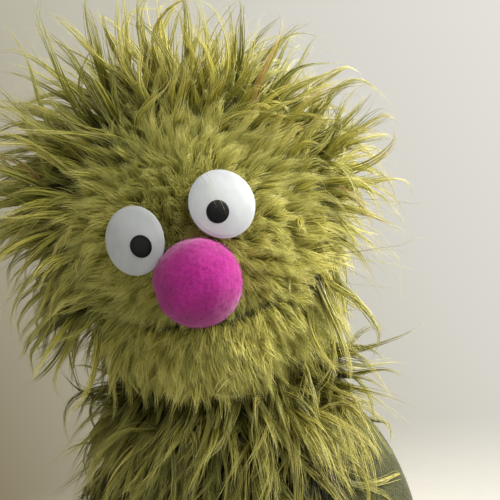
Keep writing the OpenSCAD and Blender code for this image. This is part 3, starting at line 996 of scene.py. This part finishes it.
def neck_fur():
    """Locks that grow round the sides and the back of the neck and hang over the collar."""
    n = 330
    angle = np.radians(rng.uniform(-38, 218, n))
    height = rng.uniform(17, 64, n) * MM
    lean = np.array(Matrix.Rotation(NECK_LEAN, 3, "X"))
    outward = np.stack([np.cos(angle), np.sin(angle), 0 * angle], axis=-1) @ lean.T
    roots = NECK + outward * (LINING_R + 0.6 * MM) + height[:, None] * lean[:, 2]
    roots = keep_off_ball(roots, NECK, NECK_R + 1.6 * MM)
    headings = unit(outward * rng.uniform(0.4, 1.1, (n, 1)) + HANG * 0.9
                    + rng.normal(size=(n, 3)) * 0.2)
    length = rng.uniform(48, 84, n) * MM
    guide = dict(steps=8, droop=rng.uniform(0.12, 0.34, n), bend=0.22, own_arc=0.06, ripple=0.18)
    grown = grow(roots, outward, headings, length, guide, 15, HANGING_LOCK,
                 past_root(shape_head_strands))
    return coat("neck_fur_locks", *grown, roots, SHADED_FUR_TONE, LONG_THICK, shaded_fur_paint, "head")


# ---- Fur on the body ----

CHEST = (0.40, math.radians(186), math.radians(306))  # lowest row, then from and to what angle
SHOULDERS = (0.52, math.radians(16), math.radians(170))
BODY_THICK = (0.22, 0.52)
PELT_TOP = 0.97


def body_fur(name, count, low, first, last, lengths, per_lock):
    """Locks that hang from the fleece body over a part of its rows."""
    t = low + (PELT_TOP - low) * rng.random(count) ** 0.8
    angle = first + (last - first) * rng.random(count)
    roots = body_point(t, angle, 1.4 * MM)
    normals = body_normal(t, angle)
    left = np.clip(-np.cos(angle) * 2 - 1, 0, 1)
    right = np.clip(np.cos(angle) * 2.5, 0, 1)
    headings = unit(normals * 0.35
                    + level(roots - NECK) * (0.4 - 0.35 * left - 0.3 * right)[:, None]
                    + HANG * 0.8 + np.clip(rng.normal(size=(count, 3)), -1.5, 1.5) * 0.19)
    length = rng.uniform(*lengths, count) * MM * np.interp(t, (low, low + 0.15), (0.7, 1.0))
    length *= 1 - 0.25 * left
    guides = guide_paths(roots, headings, length, steps=9, droop=rng.uniform(0.14, 0.4, count),
                         bend=0.22, own_arc=0.06, ripple=0.2)
    # A lock that would lie across the fleece, or whose lower half would, is left out.
    hangs = guides[:, 0, 2] - guides[:, -1, 2] > 0.5 * length
    hangs &= guides[:, 5, 2] - guides[:, -1, 2] > 0.2 * length
    guides, roots, normals = guides[hangs], roots[hangs], normals[hangs]
    strands, index = lock_strands(guides, normals, per_lock, **LONG_LOCK)
    strands = past_root(lambda p: keep_off_body(p, 2.4 * MM))(strands)
    # A darker tone still for the body's locks: painted shade of the head over them.
    tone = SHADED_FUR_TONE | dict(middle=0.40)
    return coat(f"{name}_locks", strands, index, roots, tone, BODY_THICK, shaded_fur_paint,
                "puppet_body")


def collar_fur():
    """Locks on the collar's binding, which hide it between the neck and the shoulders."""
    n = 280
    angle = rng.uniform(0, 2 * math.pi, n)
    behind = np.clip(np.sin(angle), 0, 1)[:, None]
    height = rng.uniform(-6, 10, n) * MM
    roots = on_ring(NECK, NECK_R + 3 * BAND_STEP + BAND_T, angle, height)
    outward = level(roots - NECK)
    headings = unit(outward * rng.uniform(0.7, 1.3, (n, 1)) * (1 - 0.4 * behind)
                    + HANG * (0.45 + 0.45 * behind)
                    + np.clip(rng.normal(size=(n, 3)), -1.6, 1.6) * 0.2)
    length = rng.uniform(38, 66, n) * MM
    guide = dict(steps=8, droop=rng.uniform(0.2, 0.45, n), bend=0.2, own_arc=0.06, ripple=0.16)
    lock = dict(spread=4.0 * MM, clump=0.9, frizz=1.1 * MM, shortest=0.5)
    grown = grow(roots, outward, headings, length, guide, 14, lock,
                 past_root(lambda p: keep_off_body(p, 3 * MM)))
    # The darkest tone, for the collar's locks: painted shade under the head.
    tone = dict(spread=0.08, tan_share=0.0, middle=0.36)
    return coat("collar_fur_locks", *grown, roots, tone, BODY_THICK, shaded_fur_paint, "puppet_body")


def pelt(name, verts, faces, body, slot, flat, rests_on, locks, node):
    """A thin backing that a part's fur grows from."""
    piece = thicken(face_mesh(name, verts, faces, pelt_paint), 1.1 * MM)
    return cloth(piece, body, slot, [node])


def body_pelt(node, low, first, last, flat, locks, panel):
    t, angle = np.meshgrid(np.linspace(low, PELT_TOP, 40), np.linspace(first, last, 90),
                           indexing="ij")
    points = body_point(t, angle, 1.5 * MM)
    points[..., 2] += 0.7 * MM
    return pelt(f"{node}_pelt", points.reshape(-1, 3), grid_faces(40, 90), "puppet_body",
                "long_fur", flat, [panel], locks, node)


# ---- Fleece body ----

fold_field = wave_field(8, 90 * MM)


def fleece_surface(t, angle):
    """The body with soft folds and a dent along the side seams."""
    t, angle = np.broadcast_arrays(t, angle)
    points = body_point(t, angle)
    hang = np.clip(1 - t / 0.75, 0, 1)
    fold = hang * 1.6 * np.sin(7 * angle + 2.2 * np.sin(2 * angle + 1) + 3 * t)
    fold = fold + 1.3 * fold_field(points)[..., 0] * np.clip(1.2 - t, 0, 1)
    seam = np.exp(-(np.sin(angle) * 105 / 3.2) ** 2)
    out = (fold * np.clip(t * 12, 0.15, 1) - 1.3 * seam) * MM
    return points + body_normal(t, angle) * out[..., None]


def fleece_panel(name, first, last, node):
    t, angle = np.meshgrid(np.linspace(0, 1, 96), np.linspace(first, last, 150), indexing="ij")
    piece = grid_piece(name, fleece_surface(t, angle), fleece_paint, thickness=1.8 * MM)
    cloth(piece, "puppet_body", "fleece", [node])


def fleece_fuzz():
    n = 7000
    t, angle = rng.random(n) * 0.98, rng.random(n) * 2 * math.pi
    roots = fleece_surface(t, angle)
    normals = body_normal(t, angle)
    headings = unit(normals * 0.7 + rng.normal(size=(n, 3)) * 0.6)
    paths = guide_paths(roots - normals * 0.3 * MM, headings, rng.uniform(1.2, 2.8, n) * MM, 3,
                        np.zeros(n), 0.6)
    return fur_pieces("fleece_fuzz", paths, rng.uniform(0.05, 0.09, n) * MM,
                      rng.uniform(0.1, 0.9, n), fuzz_paint, "puppet_body", "fleece")


def hem_oval(angle, grow):
    return np.stack([(HEM_HALF_W + grow) * np.cos(angle),
                     NECK[1] + (HEM_HALF_D + grow) * np.sin(angle)], axis=-1)


def body_hem():
    """The turned-up hem: a soft flat loop of cloth, and the stitches that hold it."""
    angle = np.linspace(0, 2 * math.pi, 240, endpoint=False)
    profile = [(-3.0, 1.2), (-2.2, 0.3), (-1.2, 0.0), (-0.3, 0.5), (0.2, 2.0), (0.35, 5.0),
               (0.3, 8.0), (-0.15, 10.2), (0.25, 12.2), (0.1, 13.6), (-0.8, 14.0), (-1.9, 13.9),
               (-3.0, 12.8), (-3.2, 7.0)]
    rows = []
    for grow, z in profile:
        flat = hem_oval(angle, (grow + 0.25 * np.sin(9 * angle) * (z > 1)) * MM)
        rows.append(np.column_stack([flat, np.full(len(angle), z * MM)]))
    points = np.array(rows + rows[:1])
    piece = grid_piece("body_hem_band", points[::-1], fleece_paint, closed=True)
    weld = piece.modifiers.new("weld", "WELD")
    weld.merge_threshold = 1e-6
    count = 112
    middle = (np.arange(count) + 0.5) * 2 * math.pi / count
    way = np.linspace(-0.34, 0.34, 6)
    turn = middle[:, None] + way * 2 * math.pi / count
    dip = np.array((-0.6, 0.15, 0.35, 0.35, 0.15, -0.6)) * MM
    paths = np.concatenate([hem_oval(turn, dip + 0.1 * MM),
                            np.full((count, 6, 1), 10.3 * MM)], axis=2)
    radii = np.tile(np.array((0.2, 0.34, 0.36, 0.36, 0.3, 0.1)) * MM, (count, 1))
    stitches = tube_mesh("hem_stitches", paths, radii, np.full(count, 0.5), thread_paint, 6)
    attach(stitches, "puppet_body", "thread")
    attach(piece, "puppet_body", "fleece", "body_hem")


# ---- Neck ----

def neck_band(name, order, low, high, node, body):
    """A strip of a ball round the neck's centre, with small creases."""
    r = NECK_R + order * BAND_STEP + BAND_T
    angle, height = np.meshgrid(np.linspace(0, 2 * math.pi, 144, endpoint=False),
                                np.linspace(low, high, 16), indexing="xy")
    crease = np.sin(23 * angle + 40 * height / MM / 9) + np.sin(41 * angle)
    points = on_ring(NECK, r + 0.12 * MM * crease - 0.24 * MM, angle, height)
    piece = grid_piece(name, points, band_paint, closed=True, thickness=BAND_T * 0.7)
    cloth(piece, body, "fleece", [node])


def neck_lining():
    """The tube from the neck into the head, open in front where the jaw swings."""
    lean = np.array(Matrix.Rotation(NECK_LEAN, 3, "X"))
    angle, height = np.meshgrid(np.linspace(0, 2 * math.pi, 120, endpoint=False),
                                np.linspace(0, 84 * MM, 46), indexing="xy")
    flat = np.stack([LINING_R * np.cos(angle), LINING_R * np.sin(angle), height], axis=-1)
    points = (flat @ lean.T + NECK).reshape(-1, 3)
    quads = np.array(grid_faces(46, 120, True))
    triangles = np.concatenate([quads[:, (0, 1, 2)], quads[:, (0, 2, 3)]])

    def settle(p):
        q = (p - NECK) @ lean
        r = np.hypot(q[:, 0], q[:, 1])[:, None]
        q = np.column_stack([q[:, :2] * LINING_R / np.maximum(r, 1e-6), q[:, 2]])
        return q @ lean.T + NECK

    def inside(p):
        ball = np.linalg.norm(p - NECK, axis=1) - NECK_R - BAND_T - 0.2 * MM
        jaw_room = plane_height(p, JAW_WEDGE + JAW_TRAVEL)
        return np.minimum.reduce([ball, p[:, 2] - NECK[2] - 23.3 * MM, -jaw_room - 8.3 * MM])

    verts, faces = trim(points, triangles, settle, inside)
    piece = thicken(face_mesh("neck_lining_tube", verts, faces, band_paint), BAND_T * 0.8)
    cloth(piece, "head", "fleece",
          ["neck_lining"])


# ---- Mouth ----

def mouth_grid(rise, radius, rows=34, columns=44):
    """Points of the mouth's curved surface, raised by rise, inside a rounded outline."""
    near, far = -2.2 * MM, -HINGE_BACK - radius
    y = near + (far - near) * np.sin(np.linspace(0, math.pi / 2, rows))
    half = np.sqrt(np.maximum(radius ** 2 - (y + HINGE_BACK) ** 2, (1.5 * MM) ** 2))
    x = half[:, None] * np.linspace(-1, 1, columns)
    z = SMILE_R - np.sqrt((SMILE_R - rise) ** 2 - x ** 2)
    return from_hinge(np.stack([x, np.broadcast_to(y[:, None], x.shape), z], axis=-1))


def mouth_lining(which, rise, body):
    points = mouth_grid(rise, BOARD_R - 0.3 * MM)
    lump = 0.12 * MM * fine_curl(points)[..., :1]
    points = points + np.array((0, 0, 1.0)) * lump
    piece = grid_piece(f"{which}_mouth_felt", points[:, ::-1], felt_paint,
                       thickness=LINING_T * 0.8)
    cloth(piece, body, "mouth_felt",
          [f"{which}_mouth_lining"])


def lip(name, side, body, ball, ball_r, half_angle):
    """The pelt's edge, turned in to meet a mouth lining. side is 1 over the mouth and -1
    under it."""
    angle = np.radians(np.linspace(-half_angle, half_angle, 140))

    def place(reach):
        x, y = reach * np.sin(angle), -HINGE_BACK - reach * np.cos(angle)
        z = SMILE_R - np.sqrt((SMILE_R - side * 1.2 * LINING_T) ** 2 - x ** 2)
        return from_hinge(np.stack([x, y, z], axis=-1))

    inner = BOARD_R + 0.3 * MM
    near, far = np.full(140, inner), np.full(140, inner + 25 * MM)
    for _ in range(20):
        middle = (near + far) / 2
        within = np.linalg.norm(place(middle) - ball, axis=-1) < ball_r
        near, far = np.where(within, middle, near), np.where(within, far, middle)
    points = np.array([place(inner + (near - inner) * way) for way in np.linspace(0, 1, 7)])
    points = points if side > 0 else points[:, ::-1]
    piece = grid_piece(name, points, pelt_paint, thickness=LINING_T)
    cloth(piece, body, "clipped_fur")


def hinge_tape():
    x, a = np.meshgrid(np.linspace(-38, 38, 60) * MM, np.radians(np.linspace(-80, 80, 20)),
                       indexing="ij")
    r = 6.5 * MM
    points = from_hinge(np.stack([x, 0.2 * MM + r * np.cos(a), r * np.sin(a)], axis=-1))
    piece = grid_piece("hinge_tape_strip", points, tape_paint, thickness=0.7 * MM)
    cloth(piece, "head", "mouth_felt",
          ["hinge_tape"])


def strap(node, radius, centre_z, front, width, way, body):
    """Ribbed elastic bowed over a mouth board; way is 1 above the board and -1 below it."""
    angles = np.linspace(0, math.pi / 2 + 0.6, 400)
    across, up = radius * np.sin(angles), centre_z + way * radius * np.cos(angles)
    height = way * (SMILE_R - np.hypot(across, up - SMILE_R))
    limit = angles[height > 2 * LINING_T + BOARD_T + 0.3 * MM].max()
    a, f = np.meshgrid(np.linspace(-limit, limit, 70), np.linspace(0, 1, 49), indexing="ij")
    rib = 0.14 * MM * np.cos(f * 24 * math.pi)
    r = radius - 0.2 * MM + rib
    points = np.stack([r * np.sin(a), front - width * f, centre_z + way * r * np.cos(a)], axis=-1)
    points = points if way < 0 else points[:, ::-1]
    piece = grid_piece(f"{node}_band", from_hinge(points), elastic_paint, thickness=1.0 * MM)
    cloth(piece, body, "elastic", [node])


# ---- Foam ----

def foam_block(node, body):
    """Carved foam over a CAD foam solid: its own mesh, with softened edges and a cut surface."""
    name = f"{node}_block"
    work = bpy.data.objects.new(name + "_work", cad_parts[node].data.copy())
    bpy.context.scene.collection.objects.link(work)
    remesh = work.modifiers.new("remesh", "REMESH")
    remesh.mode = "VOXEL"
    remesh.voxel_size = 2.2 * MM
    bpy.context.view_layer.update()
    solid = work.evaluated_get(bpy.context.evaluated_depsgraph_get())
    mesh = bpy.data.meshes.new_from_object(solid)
    bpy.data.objects.remove(work)
    count = len(mesh.vertices)
    co = np.empty(count * 3, np.float32)
    normal = np.empty(count * 3, np.float32)
    mesh.vertices.foreach_get("co", co)
    mesh.vertices.foreach_get("normal", normal)
    co, normal = co.reshape(-1, 3).astype(float), normal.reshape(-1, 3)
    cut = fine_curl(co)[:, :1] * 0.16 * MM - 0.45 * MM
    mesh.vertices.foreach_set("co", (co + normal * cut).astype(np.float32).ravel())
    mesh.polygons.foreach_set("use_smooth", np.ones(len(mesh.polygons), bool))
    mesh.update()
    attach(link(name, mesh, foam_paint), body, "foam", node)


# ---- Eyes and nose ----

def lathe(name, frame_axes, profile, material, centre=(0.0, 0.0), lift_at=None, segments=96):
    """A turned piece in an eye's frame. profile is radius and height, from the axis outwards."""
    origin, across, up, out = frame_axes
    angle = np.linspace(0, 2 * math.pi, segments, endpoint=False)
    rows = []
    for radius, height in profile:
        x, y = centre[0] + radius * np.cos(angle), centre[1] + radius * np.sin(angle)
        z = height + (lift_at(x, y) if lift_at else 0.0)
        rows.append(origin + np.outer(x, across) + np.outer(y, up)
                    + np.outer(np.zeros(segments) + z, out))
    points = np.array(rows)
    faces = grid_faces(len(profile), segments, True)
    verts = points.reshape(-1, 3)
    for row, order in ((0, -1), (len(profile) - 1, 1)):
        ring = [row * segments + i for i in range(segments)]
        verts = np.vstack([verts, points[row].mean(axis=0)])
        hub = len(verts) - 1
        for i in range(segments):
            a, b = ring[i], ring[(i + 1) % segments]
            faces.append((hub, b, a) if order < 0 else (hub, a, b))
    return face_mesh(name, verts, faces, material)


def dome_height(x, y):
    """Height of an eye's domed front over its flat back."""
    r = (EYE_R ** 2 + EYE_DOME_H ** 2) / (2 * EYE_DOME_H)
    return EYE_RIM_T + EYE_DOME_H - r + np.sqrt(r ** 2 - x ** 2 - y ** 2)


def eye(side):
    axes = EYE_FRAMES[side]
    px, py = (v * MM for v in EYES[side][4:])
    profile = [(18.6, 0.0), (19.5, 0.0), (19.92, 0.35), (20.0, 0.9), (19.9, 1.4), (19.55, 1.75),
               (19.1, 1.86)]
    profile = [(r * MM, h * MM) for r, h in profile]
    for r in np.linspace(18.75, 0.4, 26) * MM:
        profile.append((r, float(dome_height(r, 0.0)) - 0.12 * MM))
    dome = lathe(f"{side}_eye_disc", axes, profile, eye_paint)
    attach(dome, f"{side}_eye", "eye_white", f"{side}_eye_dome")
    cap = [(5.6, -0.25), (6.25, -0.2), (6.48, 0.0), (6.5, 0.2), (6.4, 0.4), (6.1, 0.55),
           (5.3, 0.62), (4.0, 0.66), (2.4, 0.68), (0.9, 0.69), (0.3, 0.69)]
    cap = [(r * MM, h * MM) for r, h in cap]
    pupil = lathe(f"{side}_eye_pupil_cap", axes, cap, pupil_paint, (px, py), dome_height)
    attach(pupil, f"{side}_eye", "pupil_black", f"{side}_eye_pupil")


def nose():
    """A ball of needle-felted wool: a lumpy core and the loose fibres on it."""
    directions, faces = icosphere(7)
    lump = wave_field(14, 21 * MM)
    pit = wave_field(15, 5 * MM)

    def surface(d):
        p = d * NOSE_R
        dip = 0.4 * lump(p)[:, 0] + 0.07 * pit(p)[:, 1]
        return NOSE + d * (NOSE_R + (dip - 0.5)[:, None] * MM)

    core = face_mesh("nose_felt_ball", surface(directions), faces, nose_paint)
    attach(core, "head", "nose_felt", "nose_ball")
    n = 10000
    d = unit(rng.normal(size=(n, 3)))
    way = tangent(rng.normal(size=(n, 3)) + 0.5 * lump(d * NOSE_R), d)
    length = rng.uniform(3.0, 9.0, n) * MM
    steps = np.linspace(0, 1, 5)
    rise = rng.uniform(0.02, 0.22, n) * np.where(rng.random(n) < 0.15, 6.0, 1.0) * MM
    side = np.cross(d, way)
    bow = rng.normal(size=n) * 0.3
    path = []
    for s in steps:
        arc = s * length
        aside = (bow * length * s * (1 - s))[:, None] * side
        dd = unit(d * NOSE_R + way * arc[:, None] + aside)
        height = np.sin(math.pi * min(s, 0.85)) * rise
        path.append(surface(dd) + dd * (height - 0.1 * MM)[:, None])
    paths = np.stack(path, axis=1)
    fur_pieces("nose_wool", paths, rng.uniform(0.025, 0.045, n) * MM, rng.uniform(0.4, 0.6, n),
               wool_paint, "head", "nose_felt")


def eye_hairs():
    """Two or three hairs that have fallen across an eye."""
    centre, across, up, out = EYE_FRAMES["right"]
    rows = []
    ends = ((-9, 25, -2.5, -9, 8.2), (-12, 22, -7, -4, 8.0), (15, 23, 19, 2, 7))
    for x0, y0, x1, y1, lift in ends:
        s = np.linspace(0, 1, 10)
        x = x0 + (x1 - x0) * s + 1.2 * np.sin(2.4 * s)
        y = y0 + (y1 - y0) * s
        z = lift * np.clip(s * 4, 0, 1) - 6 * (s < 0.02)
        rows.append(centre + (np.outer(x, across) + np.outer(y, up) + np.outer(z, out)) * MM)
    paths = np.array(rows)
    fur_pieces("eye_hairs", paths, np.full(len(paths), 0.1) * MM, np.full(len(paths), 0.75),
               fur_paint, "head", "long_fur")


# ---- Building ----

def repaint(material, *nodes):
    for node in nodes:
        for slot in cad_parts[node].material_slots:
            slot.material = material


def build():
    fleece_panel("fleece_front_panel", math.pi, 2 * math.pi, "fleece_front")
    fleece_panel("fleece_back_panel", 0.0, math.pi, "fleece_back")
    fleece_fuzz()
    body_hem()
    h = COLLAR_HALF_H
    neck_band("collar_binding_band", 3, -h, h, "collar_binding", "puppet_body")
    neck_band("lower_neck_fold", 2, -h, h, "lower_neck_band", "lower_neck")
    neck_band("upper_neck_fold", 1, -h, h, "upper_neck_band", "upper_neck")
    neck_band("head_neck_fold", 0, -h, 23 * MM, "head_neck_band", "head")
    neck_lining()
    for node, body in (("head_foam_left", "head"), ("head_foam_right", "head"),
                       ("jaw_foam", "jaw")):
        foam_block(node, body)
    mouth_lining("upper", 2 * LINING_T, "head")
    mouth_lining("lower", -LINING_T, "jaw")
    lip("upper_lip_edge", 1, "head", HEAD, SKIN_R, 100)
    lip("lower_lip_edge", -1, "jaw", JAW, JAW_SKIN_R, 80)
    hinge_tape()
    strap("finger_strap", 36 * MM, -10 * MM, -26 * MM, 20 * MM, 1, "head")
    strap("thumb_strap", 20 * MM, 6 * MM, -40 * MM, 14 * MM, -1, "jaw")
    eye("left")
    eye("right")
    nose()
    locks, soft = long_fur(), undercoat()
    locks["crown_fur"] += loose_hairs()
    hanging = side_locks()
    locks["back_fur"] += neck_fur()
    foam = ["head_foam_left_block", "head_foam_right_block"]
    sizes = {"crown_fur": (0.20, 0.12), "left_side_fur": (0.13, 0.13),
             "right_side_fur": (0.13, 0.13), "back_fur": (0.19, 0.12)}
    for name, part in LONG_PARTS.items():
        skin = ball_skin(settle_on_head, HEAD,
                         lambda p: np.minimum(on_long_fur(p), part(p - HEAD) - 0.2 * MM))
        grown = locks[name] + soft[name] + hanging[name]
        pelt(f"{name}_pelt", *skin, "head", "long_fur", sizes[name], foam, grown, name)
    tufts = face_fur()
    eye_hairs()
    skin = ball_skin(settle_on_head, HEAD, on_face)
    pelt("face_fur_pelt", *skin, "head", "clipped_fur", (0.14, 0.11), foam, tufts, "face_fur")
    tufts = chin_fur()
    skin = ball_skin(settle_on_jaw, JAW_MIDDLE, on_jaw)
    pelt("chin_fur_pelt", *skin, "jaw", "clipped_fur", (0.16, 0.10), ["jaw_foam_block"], tufts,
         "chin_fur")
    beard = throat_fur()
    angle, height = np.meshgrid(np.radians(np.linspace(-50, 50, 50)),
                                np.linspace(203, 235, 18) * MM, indexing="xy")
    pelt("throat_fur_pelt", throat_point(angle, height).reshape(-1, 3), grid_faces(18, 50), "head",
         "long_fur", (0.10, 0.032), ["head_neck_fold"], beard, "throat_fur")
    chest = body_fur("chest_fur", 400, *CHEST, (56, 88), 16)
    body_pelt("chest_fur", *CHEST, (0.19, 0.12), chest, "fleece_front_panel")
    shoulders = body_fur("shoulder_fur", 380, *SHOULDERS, (46, 74), 14)
    shoulders += collar_fur()
    body_pelt("shoulder_fur", *SHOULDERS, (0.2, 0.09), shoulders, "fleece_back_panel")
    repaint(board_paint, "upper_mouth_board", "lower_mouth_board")
    repaint(washer_paint, "left_eye_shank", "left_eye_washer", "right_eye_shank",
            "right_eye_washer", "nose_button")
    repaint(pink_thread_paint, "nose_thread")


# ---- Stage, light and camera ----

def gradient(tree, vector, direction, offset):
    """A number that grows along a direction."""
    along = add_node(tree, "VectorMath", {0: vector, 1: direction}, operation="DOT_PRODUCT")
    return add_node(tree, "Math", {0: along.outputs["Value"], 1: offset}).outputs[0]


def floor_disc():
    """A pale floor whose far part fades into the studio's background."""
    columns = 128
    angle = np.linspace(0, 2 * math.pi, columns, endpoint=False)
    rows = [np.column_stack([r * np.cos(angle), r * np.sin(angle), np.zeros(columns)])
            for r in (0.001, 0.4, 1, 2, 4)]
    paint = mottled_material("floor_paper", (196, 193, 185), (199, 196, 188), 60, 0.95, 0.05,
                             0.0, 0.00002, cloudy=0.01)
    tree = paint.node_tree
    place = add_node(tree, "TexCoord").outputs["Object"]
    far = add_node(tree, "VectorMath", {0: place}, operation="LENGTH").outputs["Value"]
    spread = add_node(tree, "Math", {0: far, 1: 1 / 1.2}, operation="MULTIPLY").outputs[0]
    faint = ramp_node(tree, spread, [(0.08, grey(1)), (0.5, grey(0))], "EASE")
    tree.links.new(faint, tree.nodes["Principled BSDF"].inputs["Alpha"])
    floor = grid_piece("floor", np.array(rows), paint, closed=True)


def stage():
    floor_disc()
    world = bpy.data.worlds.new("studio")
    world.use_nodes = True
    bpy.context.scene.world = world
    tree = world.node_tree
    place = add_node(tree, "TexCoord").outputs["Generated"]
    # The background also lights the puppet: brighter to the right and above, darker and browner to
    # the lower left, partly a painted shade of the wall that also gives less light from that side,
    # and dimmer towards the front.
    side = gradient(tree, place, (0.68, 0.0, 0.24), 0.54)
    sky = ramp_node(tree, side, stops(
        0.0, (160, 155, 142), 0.14, (150, 142, 122), 0.26, (133, 122, 96), 0.45, (186, 182, 164),
        0.62, (214, 211, 202), 0.78, (231, 228, 221), 1.0, (246, 244, 240)))
    ahead = gradient(tree, place, (0.0, 0.5, 0.0), 0.5)
    room = ramp_node(tree, ahead, [(0.2, grey(0.5)), (0.62, grey(1))], "EASE")
    lit = mix_node(tree, "MULTIPLY", 1.0, sky, room)
    tree.links.new(lit, tree.nodes["Background"].inputs["Color"])
    tree.nodes["Background"].inputs["Strength"].default_value = 1.0


MIDDLE = Vector((0.0, -0.02, 0.30))  # what the lamps face

# Place, size, watts and colour.
LAMPS = {
    "key": ((1.20, -1.15, 1.45), 1.1, 27, (1.0, 0.985, 0.95)),
    "side": ((1.72, 0.30, 0.95), 1.0, 56, (1.0, 0.985, 0.95)),
    "fill": ((-1.2, -1.5, 0.5), 1.5, 9.0, (0.98, 0.98, 1.0)),
    "rim": ((0.7, 1.1, 1.2), 0.9, 16, (1.0, 0.98, 0.92)),
}


def lights():
    """Soft round lamps that face the puppet's middle."""
    for name, (place, size, watts, colour) in LAMPS.items():
        data = bpy.data.lights.new(name, "AREA")
        data.shape = "DISK"
        data.size = size
        data.energy = watts
        data.color = colour
        lamp = bpy.data.objects.new(name, data)
        bpy.context.scene.collection.objects.link(lamp)
        lamp.location = place
        lamp.rotation_euler = (MIDDLE - Vector(place)).to_track_quat("-Z", "Y").to_euler()


def camera():
    """The camera looks from the front, a little above, and rolled so the puppet leans."""
    elevation, roll = math.radians(6), math.radians(10)
    distance = 0.52
    view = Matrix.Rotation(math.radians(90) - elevation, 3, "X") @ Matrix.Rotation(-roll, 3, "Z")
    right, up, back = (np.array(view.col[i]) for i in range(3))
    place = NOSE + back * distance + right * 28.6 * MM + up * 18.2 * MM
    data = bpy.data.cameras.new("camera")
    data.sensor_width = 36
    data.lens = 68
    data.clip_start = 0.01
    seen = bpy.data.objects.new("camera", data)
    seen.matrix_world = Matrix.Translation(Vector(place)) @ view.to_4x4()
    bpy.context.scene.collection.objects.link(seen)
    bpy.context.scene.camera = seen
    bpy.context.scene.view_settings.view_transform = "Standard"


build()
stage()
lights()
camera()
